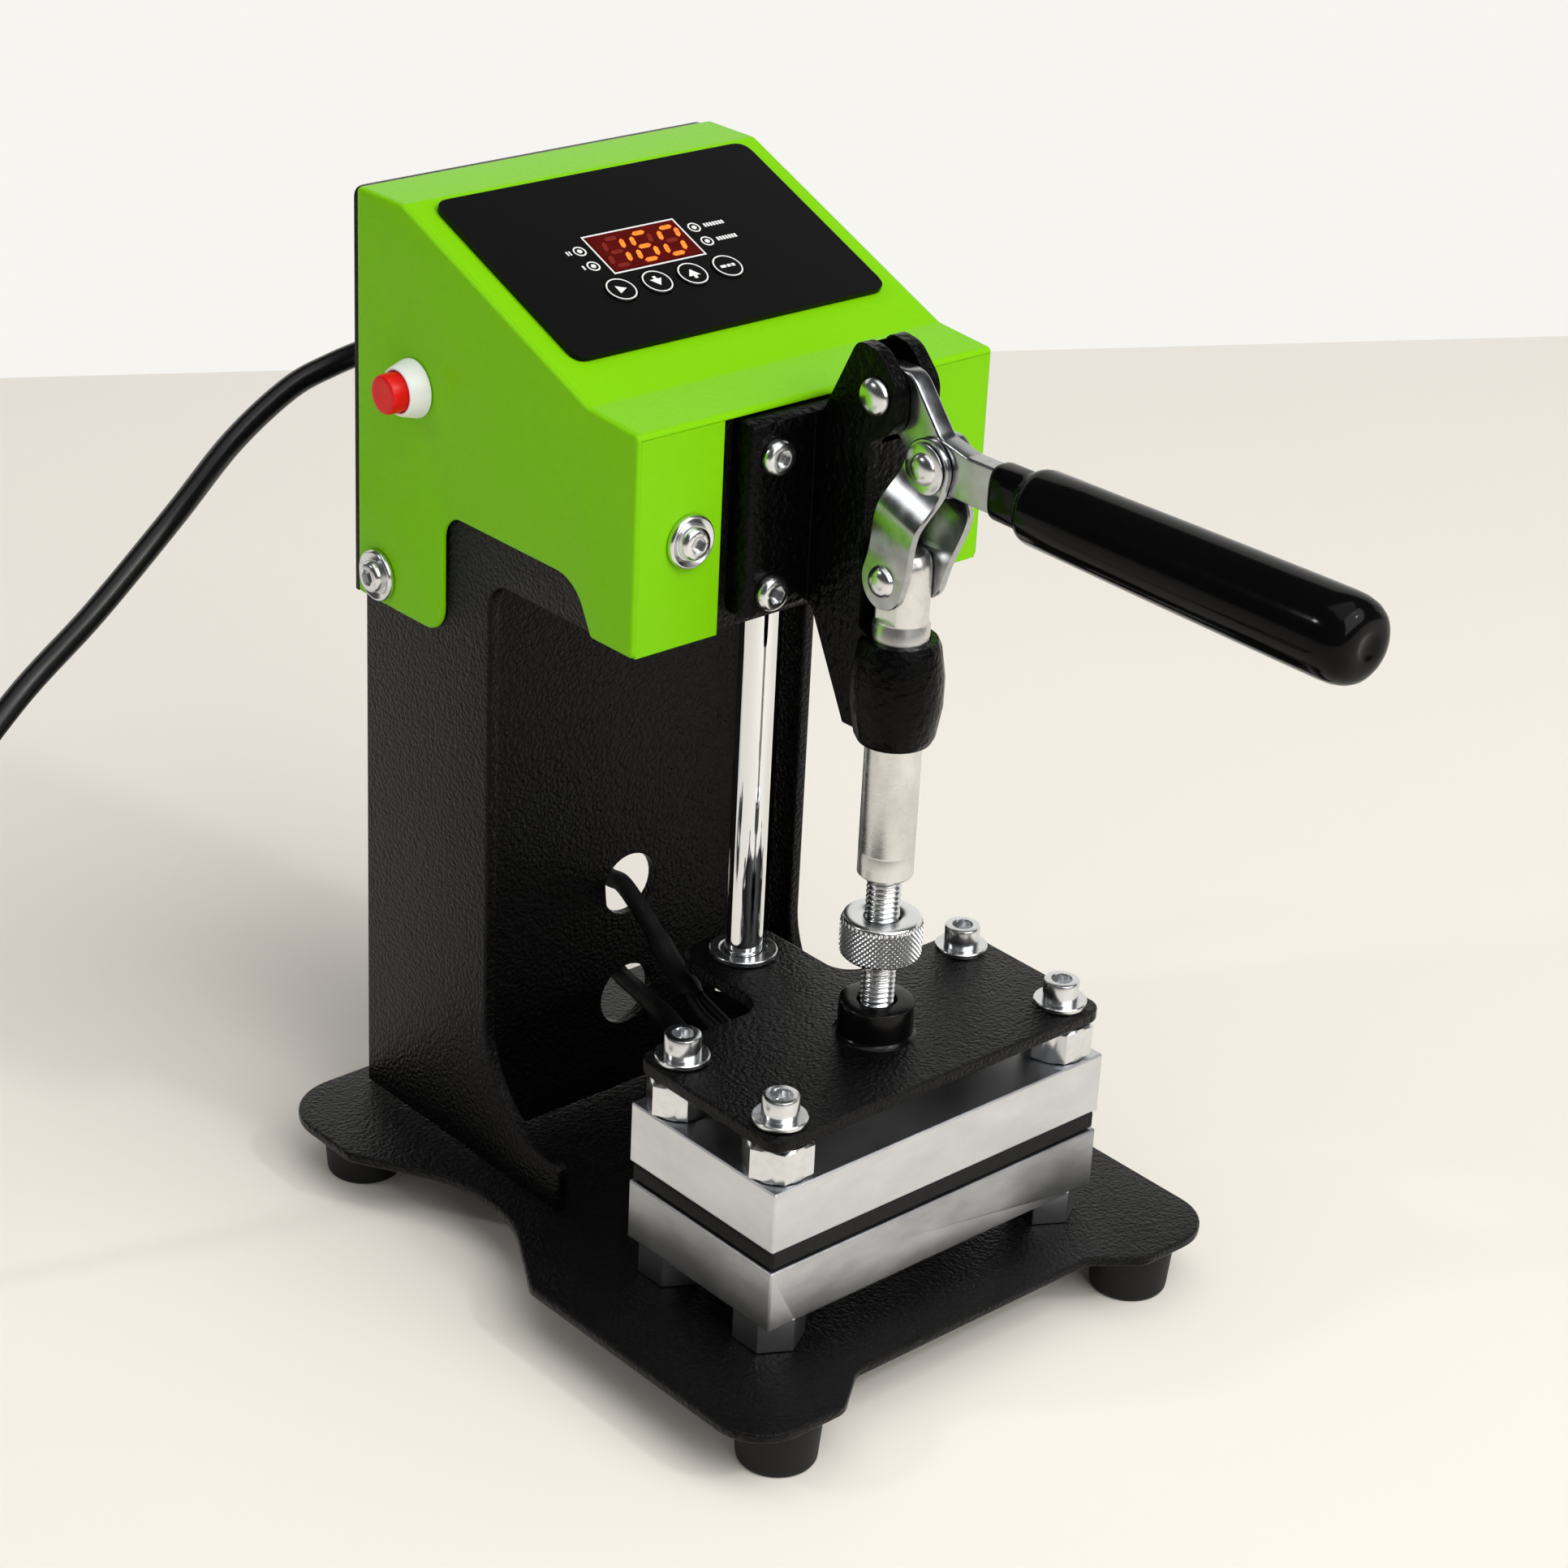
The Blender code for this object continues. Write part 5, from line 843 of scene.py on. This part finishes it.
def printed(outlines, low, high):
    """Thin prisms on the slope, one for each flat outline of (x, y) points, run anticlockwise."""
    points, faces, used = [], [], 0
    for outline in outlines:
        outline = np.asarray(outline, float)
        x, y = outline.T
        if x @ np.roll(y, -1) < y @ np.roll(x, -1):
            outline = outline[::-1]
        count = len(outline)
        for height in (low, high):
            points.append(on_panel(outline[:, 0], outline[:, 1], height))
        ring = np.arange(count)
        beside = (ring + 1) % count
        walls = np.stack([ring, beside, beside + count, ring + count], -1) + used
        faces += walls.tolist()
        faces += [(ring[::-1] + used).tolist(), (ring + count + used).tolist()]
        used += 2 * count
    return np.vstack(points), faces


def disc(x, y, radius, steps=32):
    """A round mark as one outline."""
    turn = 2.0 * math.pi * np.arange(steps) / steps
    return np.column_stack([x + radius * np.cos(turn), y + radius * np.sin(turn)])


def ring_marks(x, y, radius, width, parts=16):
    """A printed ring as short arcs with hairline gaps."""
    marks = []
    for part in range(parts):
        turn = np.radians(360.0 / parts * np.array([part + 0.01, part + 0.5, part + 0.99]))
        outer = np.column_stack([x + radius * np.cos(turn), y + radius * np.sin(turn)])
        inner = np.column_stack([x + (radius - width) * np.cos(turn), y + (radius - width) * np.sin(turn)])
        marks.append(np.vstack([outer, inner[::-1]]))
    return marks


def bar(left, low, right, high):
    """A rectangular mark as one outline."""
    return [(left, low), (right, low), (right, high), (left, high)]


membrane_paint = Paint("printed_membrane")
membrane_grain = membrane_paint.noise(2600.0, 2.0)
membrane = membrane_paint.finish(
    Base_Color=membrane_paint.between(membrane_grain, (0.0015, 0.0015, 0.002), (0.003, 0.003, 0.0035)),
    Roughness=0.26 + 0.1 * membrane_grain, Specular_IOR_Level=0.11,
    Normal=membrane_paint.relief(membrane_grain, 0.02, 0.3, 0.3))
dress(membrane, "overlay_panel", "key_1", "key_2", "key_3", "key_4")
# The window itself glows faintly red: painted light standing in for the digits' light spread through it.
window_paint = Paint("red_window_painted_glow")
window_glow = window_paint.noise(220.0, 2.0)
window = window_paint.finish(
    Base_Color=window_paint.between(window_glow, (0.03, 0.001, 0.001), (0.06, 0.002, 0.001)),
    Roughness=0.16, Specular_IOR_Level=0.3,
    Emission_Color=window_paint.between(window_glow, (0.12, 0.003, 0.001), (0.2, 0.006, 0.002)),
    Emission_Strength=0.3)
dress(window, "display_window")
board_paint = Paint("solder_mask")
board = board_paint.finish(
    Base_Color=board_paint.between(board_paint.noise(160.0), (0.01, 0.09, 0.03), (0.02, 0.16, 0.06)),
    Roughness=0.4)
dress(board, "control_board")

ink_paint = Paint("white_ink")
ink = ink_paint.finish(
    Base_Color=ink_paint.between(ink_paint.noise(900.0), (0.68, 0.68, 0.66), (0.84, 0.84, 0.82)),
    Roughness=0.45)
ink_low, ink_high = 1.79, 1.88
window_left, window_right, window_low, window_high = -21.3, 8.9, 42.0, 56.8
line, hairline = 0.5, 0.01
frame_marks = [bar(window_left - line, window_low - line, window_right + line, window_low),
               bar(window_left - line, window_high, window_right + line, window_high + line),
               bar(window_left - line, window_low + hairline, window_left, window_high - hairline),
               bar(window_right, window_low + hairline, window_right + line, window_high - hairline)]
lamp_marks = []
for lamp_x, lamp_y in ((-25.6, 52.3), (-25.6, 46.0), (13.2, 52.3), (13.2, 46.3)):
    lamp_marks += ring_marks(lamp_x, lamp_y, 1.9, 0.45)
    lamp_marks += [disc(lamp_x, lamp_y, 0.75)]
label_marks = [bar(-29.9 + 0.9 * step, 51.5, -29.4 + 0.9 * step, 53.1) for step in range(2)]
label_marks += [bar(-29.0, 45.3, -28.4, 46.9)]
for row in (52.3, 46.3):
    label_marks += [bar(16.6 + 1.0 * step, row - 0.7, 17.3 + 1.0 * step, row + 0.7) for step in range(7)]
add_piece("panel_print", *printed(frame_marks + lamp_marks + label_marks, ink_low, ink_high), "frame", ink,
          "white")

digit_paint = Paint("lit_digits")
digit_heat = digit_paint.noise(700.0, 2.0)
digit_light = digit_paint.finish(
    Base_Color=(0.05, 0.002, 0.001), Roughness=0.4, Specular_IOR_Level=0.2, Emission_Strength=1.5,
    Emission_Color=digit_paint.between(digit_heat, (1.0, 0.06, 0.004), (1.0, 0.4, 0.04)))


def seven_segments(x, y, lit, width=5.8, height=10.4, thick=1.5):
    """Lit bars of a slanted figure: top, two on the right, bottom, two on the left, middle."""
    half = height / 2.0
    cut = thick / 2.0
    across = [(cut, 0.0), (thick, cut), (width - thick, cut), (width - cut, 0.0), (width - thick, -cut),
              (thick, -cut)]
    upright = [(0.0, cut), (cut, thick), (cut, half - thick), (0.0, half - cut), (-cut, half - thick),
               (-cut, thick)]
    places = {"top": (across, 0.0, height), "middle": (across, 0.0, half), "bottom": (across, 0.0, 0.0),
              "upper_left": (upright, 0.0, half), "lower_left": (upright, 0.0, 0.0),
              "upper_right": (upright, width, half), "lower_right": (upright, width, 0.0)}
    marks = []
    for name in lit.split():
        shape, left, low = places[name]
        marks.append([(x + left + u + 0.3 * (low + v), y + low + v) for u, v in shape])
    return marks


one = "upper_right lower_right"
six = "top upper_left lower_left bottom lower_right middle"
zero = "top upper_left lower_left bottom lower_right upper_right"
unlit = {one: "top upper_left lower_left bottom middle", six: "upper_right", zero: "middle"}
digits, ghosts = [], []
figures_foot, figures_low, figures_high = 43.9, 2.09, 2.16
for figure, left in ((one, -20.0), (six, -10.7), (zero, -1.4)):
    digits += seven_segments(left, figures_foot, figure)
    ghosts += seven_segments(left, figures_foot, unlit[figure])
add_piece("display_digits", *printed(digits, figures_low, figures_high), "frame", digit_light, "display")
# The unlit segments are given a faint red glow: painted light, though no lamp is behind them.
ghost_paint = Paint("unlit_segments_painted_glow")
ghost = ghost_paint.finish(
    Base_Color=(0.05, 0.002, 0.001), Roughness=0.4, Specular_IOR_Level=0.2,
    Emission_Color=ghost_paint.between(ghost_paint.noise(500.0), (0.16, 0.004, 0.001), (0.34, 0.02, 0.003)),
    Emission_Strength=0.6)
add_piece("display_unlit_painted_glow", *printed(ghosts, figures_low, figures_high - 0.02), "frame", ghost, "display")

first_key_x, key_step, key_y, key_low, key_high = -24.2, 12.0, 35.4, 2.19, 2.27
key_icons = (
    [[(-1.2, -1.5), (1.7, 0.0), (-1.2, 1.5)]],
    [[(-1.9, 0.9), (0.0, -1.7), (1.9, 0.9)], bar(-0.5, 0.9, 0.5, 2.0)],
    [[(-1.9, -0.9), (1.9, -0.9), (0.0, 1.7)], bar(-0.5, -2.0, 0.5, -0.9)],
    [bar(-2.4, -0.5, -0.6, 0.5), bar(-0.2, -0.5, 0.9, 0.5), bar(1.3, -0.5, 2.4, 0.5)],
)
for index, icon in enumerate(key_icons):
    key_x = first_key_x + key_step * index
    icon_marks = [[(key_x + u, key_y + v) for u, v in outline] for outline in icon]
    add_piece(f"key_mark_{index + 1}", *printed(ring_marks(key_x, key_y, 4.25, 0.4, 24) + icon_marks,
                                                key_low, key_high),
              f"key_{index + 1}_body", ink, "white")

# Power switch
# A round push switch in a white bezel on the left wall, with a red button.
bezel_paint = Paint("white_moulding")
white = bezel_paint.finish(
    Base_Color=bezel_paint.between(bezel_paint.noise(60.0), (0.88, 0.88, 0.88), (0.93, 0.93, 0.93)),
    Roughness=0.3 + 0.08 * bezel_paint.noise(900.0),
    Normal=bezel_paint.relief(bezel_paint.noise(700.0), 0.02, 0.3))
bezel_seat = -60.8
bezel_profile = [(0.0, bezel_seat + 16.0), (5.6, bezel_seat + 16.0), (5.6, bezel_seat), (8.0, bezel_seat),
                 (8.0, bezel_seat - 0.7), (7.85, bezel_seat - 1.2), (6.75, bezel_seat - 4.9),
                 (6.5, bezel_seat - 5.4), (6.25, bezel_seat - 5.6), (5.9, bezel_seat - 5.6),
                 (5.7, bezel_seat - 5.4), (5.7, bezel_seat - 0.5), (0.0, bezel_seat - 0.5)]
switch_centre = (0.0, 126.0, 242.0)
add_piece("switch_bezel_ring", *turned(bezel_profile, "X", switch_centre, 64), "frame", white, "white",
          "switch_bezel")
button_paint = Paint("red_moulding")
red = button_paint.finish(
    Base_Color=button_paint.between(button_paint.noise(80.0), (0.66, 0.002, 0.003), (0.8, 0.004, 0.004)),
    Specular_IOR_Level=0.25, Roughness=0.26 + 0.08 * button_paint.noise(1100.0))
button_tip = -70.9
button_profile = [(0.0, button_tip + 0.15), (3.4, button_tip + 0.1), (4.6, button_tip),
                  (5.1, button_tip + 0.25), (5.4, button_tip + 0.9), (5.4, button_tip + 6.8),
                  (0.0, button_tip + 6.8)]
add_piece("red_push_button", *turned(button_profile, "X", switch_centre, 56), "button", red, "red",
          "switch_button")

# Heater cables
# Silicone-insulated cables run down inside the column. Each comes through a
# hole in the web and ends in a heat-shrink sleeve with two leads to its platen.


def smooth_path(places, steps=8):
    """Catmull-Rom curve through places, as points at even parameter steps."""
    knots = np.array(places, float)
    knots = np.vstack([2.0 * knots[0] - knots[1], knots, 2.0 * knots[-1] - knots[-2]])
    t = (np.arange(steps) / steps)[None, :, None]
    p0, p1, p2, p3 = (knots[shift:len(knots) - 3 + shift, None] for shift in range(4))
    curve = 0.5 * (2.0 * p1 + (p2 - p0) * t + (2.0 * p0 - 5.0 * p1 + 4.0 * p2 - p3) * t ** 2
                   + (3.0 * p1 - p0 - 3.0 * p2 + p3) * t ** 3)
    return np.vstack([curve.reshape(-1, 3), knots[-2]])


def swept(path, radii, corners=16):
    """Circles across a path whose radius follows radii (share of length, radius)."""
    along = np.gradient(path, axis=0)
    along /= np.linalg.norm(along, axis=1, keepdims=True)
    aside = np.array([1.0, 0.0, 0.0]) - along[:, :1] * along
    aside /= np.linalg.norm(aside, axis=1, keepdims=True)
    above = np.cross(along, aside)
    walked = np.concatenate([[0.0], np.cumsum(np.linalg.norm(np.diff(path, axis=0), axis=1))])
    shares, sizes = np.array(radii, float).T
    radius = np.interp(walked / walked[-1], shares, sizes)[:, None, None]
    turn = (2.0 * math.pi * np.arange(corners) / corners)[None, :, None]
    grid = path[:, None] + radius * (np.cos(turn) * aside[:, None] + np.sin(turn) * above[:, None])
    return grid, capped(len(path), corners)


sleeve_paint = Paint("braided_sleeve")
weave = sleeve_paint.node("TexVoronoi", {"Vector": sleeve_paint.where(), "Scale": 1500.0})
sleeve = sleeve_paint.finish(
    Base_Color=sleeve_paint.between(weave, (0.002, 0.002, 0.0022), (0.006, 0.006, 0.0065)),
    Specular_IOR_Level=0.25,
    Roughness=0.42 + 0.3 * weave, Normal=sleeve_paint.relief(weave, 0.08, 0.5, 0.2))
hole_high, hole_low = 86.0, 50.0
cable, riser_x, lower_x, inside_y, inlet_z = 2.7, -5.2, 7.2, 129.0, 226.0
upper_run = smooth_path([(-2.0, 109.9, hole_high), (-2.0, 104.0, hole_high), (-3.0, 92.0, 80.0),
                         (-4.0, 79.3, 71.6), (-4.8, 67.0, 67.0)])
upper_sleeve = [(0.0, cable), (0.5, cable), (0.56, 3.5), (0.93, 3.3), (0.96, cable), (1.0, 2.3)]
upper_cable = add_piece("upper_heater_cable", *swept(upper_run, upper_sleeve), "frame", sleeve, "rubber",
                        "heater_cable_upper")
lower_run = smooth_path([(lower_x, inside_y, inlet_z), (lower_x, inside_y, 197.0), (lower_x, inside_y, 123.0),
                         (lower_x, 127.4, 69.2), (5.6, 117.2, 52.6), (4.0, 104.0, hole_low),
                         (2.4, 92.0, 49.0), (0.8, 77.0, 45.0), (-2.4, 59.0, 38.6)])
lower_sleeve = [(0.0, cable), (0.84, cable), (0.87, 3.4), (0.97, 3.3), (1.0, 2.6)]
add_piece("lower_heater_cable", *swept(lower_run, lower_sleeve), "frame", sleeve, "rubber",
          "heater_cable_lower")
riser_run = smooth_path([(riser_x, inside_y, inlet_z), (riser_x, inside_y, 212.0), (riser_x, inside_y, 141.0),
                         (riser_x, 127.4, 102.0), (-3.6, 122.4, 90.5), (-2.0, 116.6, hole_high),
                         (-2.0, 110.2, hole_high)])
add_piece("riser_heater_cable", *swept(riser_run, [(0.0, cable), (1.0, cable)]), "frame", sleeve, "rubber",
          "heater_cable_riser")
lead_radius, lower_lead_radius, lead_end_y, platen_step = 1.5, 1.3, 29.3, 24.0
lead_pieces = []
for index, (spread, end_z) in enumerate(((-2.4, 63.2), (1.6, 58.8))):
    lead_run = smooth_path([(-4.8 + spread * 0.4, 71.0, 68.5), (-5.2 + spread, 60.0, 64.4),
                            (-5.2 + spread * 1.6, 40.0, end_z - 0.4),
                            (-5.2 + spread * 1.6, lead_end_y, end_z)])
    lead = swept(lead_run, [(0.0, lead_radius), (1.0, lead_radius)], 12)
    lead_pieces.append(add_piece(f"upper_lead_{index + 1}", *lead, "frame", rubber, "rubber"))
    lower_lead = smooth_path([(-2.2 + spread * 0.4, 61.0, 39.2), (-3.4 + spread, 52.0, 37.4),
                              (-4.0 + spread * 1.5, 40.0, end_z - platen_step - 0.2),
                              (-4.0 + spread * 1.5, lead_end_y, end_z - platen_step)])
    lead = swept(lower_lead, [(0.0, lower_lead_radius), (1.0, lower_lead_radius)], 12)
    add_piece(f"lower_lead_{index + 1}", *lead, "frame", rubber, "rubber")
for piece in (upper_cable, *lead_pieces):
    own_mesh(piece)

# Power cord
# A 7 mm mains cord with a round PVC jacket, about 1.5 m long, leaves the back
# through a moulded strain relief, drops to the table on the left and ends in a
# moulded three-pin plug, with its spare length coiled in two layers.
jacket_paint = Paint("pvc_jacket")
jacket_grain = jacket_paint.noise(1200.0, 3.0)
jacket = jacket_paint.finish(
    Base_Color=jacket_paint.between(jacket_grain, (0.003, 0.003, 0.0033), (0.006, 0.006, 0.0065)),
    Roughness=0.24 + 0.12 * jacket_grain, Specular_IOR_Level=0.3,
    Normal=jacket_paint.node("Bump", {"Height": jacket_grain, "Distance": 0.04 * mm, "Strength": 0.4}))
relief_low, relief_high, root_radius, tip_radius = 156.6, 184.1, 6.2, 4.4
groove_step, groove_depth = 4.1, 1.1
relief_profile = [(0.0, 146.3), (5.5, 146.3), (5.5, 154.1), (8.6, 154.1), (9.0, 154.5), (9.0, 156.2),
                  (8.6, relief_low), (root_radius, relief_low)]
for groove in range(6):
    start = relief_low + 2.2 + groove_step * groove
    share = (start - relief_low) / (relief_high - relief_low)
    radius = root_radius + (tip_radius - root_radius) * share
    relief_profile += [(radius, start), (radius - groove_depth, start + 0.3),
                       (radius - groove_depth, start + 1.5), (radius - 0.1, start + 1.8)]
relief_profile += [(tip_radius, relief_high - 0.5), (4.0, relief_high), (0.0, relief_high)]
cord_start = np.array([-4.0, 184.4, 226.0])
gland = add_piece("strain_relief", *turned(relief_profile, "Y", (cord_start[0], 0.0, cord_start[2]), 40),
                  "frame", rubber, "rubber", "cord_gland")
dress(jacket, "plug")

cord_diameter = 7.0
left_behind_share = np.array([
    (0.0, 8.0, 1.0), (2.5, 17.8, 0.989), (9.0, 26.6, 0.971), (19.0, 33.1, 0.949), (32.0, 36.1, 0.924),
    (53.0, 34.1, 0.874), (80.0, 23.6, 0.814), (111.0, 15.6, 0.732), (142.0, 7.6, 0.6615),
    (170.0, 1.6, 0.562), (194.0, -3.4, 0.429), (212.0, -7.4, 0.274), (228.0, -11.4, 0.128),
    (248.0, -14.4, 0.0398), (264.0, -15.9, 0.0177)])
hand_places = cord_start * (1.0, 1.0, 0.0) + left_behind_share * (-1.0, 1.0, cord_start[2])
coil_centre = np.array([-290.0, 121.0])
coil_turns, layer = 4.25, 7.5
coil_outer = 38.5 + layer * coil_turns / 4.0
cord_low = 3.6
coil_entry = (coil_centre[0] + cord_diameter + 0.3, coil_centre[1] + coil_outer, cord_low)
free_run = smooth_path(np.vstack([cord_start, hand_places, coil_entry]))
turns = np.linspace(0.0, coil_turns, 154)
coil_radius = coil_outer - layer * np.minimum(turns, coil_turns - turns)
coil_angle = math.pi / 2.0 + 2.0 * math.pi * turns
climb = cord_low + layer * eased((turns - coil_turns / 2.0) / 0.5 + 0.5)
coil_run = np.column_stack([coil_centre[0] + coil_radius * np.cos(coil_angle),
                            coil_centre[1] + coil_radius * np.sin(coil_angle), climb])
last_way = np.array([-math.sin(coil_angle[-1]), math.cos(coil_angle[-1]), 0.0])
cord_line = np.vstack([free_run, coil_run, coil_run[-1] + last_way * 15.0, coil_run[-1] + last_way * 30.0])
cord_line = (cord_line + (0.0, plunger_axis_y, 0.0)) * mm
cord_curve = bpy.data.curves.new("mains_cord", "CURVE")
cord_curve.dimensions = "3D"
cord_curve.bevel_depth = cord_diameter / 2.0 * mm
cord_curve.bevel_resolution = 4
cord_curve.use_fill_caps = True
cord_curve.materials.append(jacket)
cord_spline = cord_curve.splines.new("POLY")
cord_spline.points.add(len(cord_line) - 1)
cord_spline.points.foreach_set("co", np.column_stack([cord_line, np.ones(len(cord_line))]).ravel())
cord_spline.use_smooth = True
mains_cord = bpy.data.objects.new("mains_cord", cord_curve)
bpy.context.scene.collection.objects.link(mains_cord)
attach(mains_cord, "frame")
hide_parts("power_cord", "cord_coil")
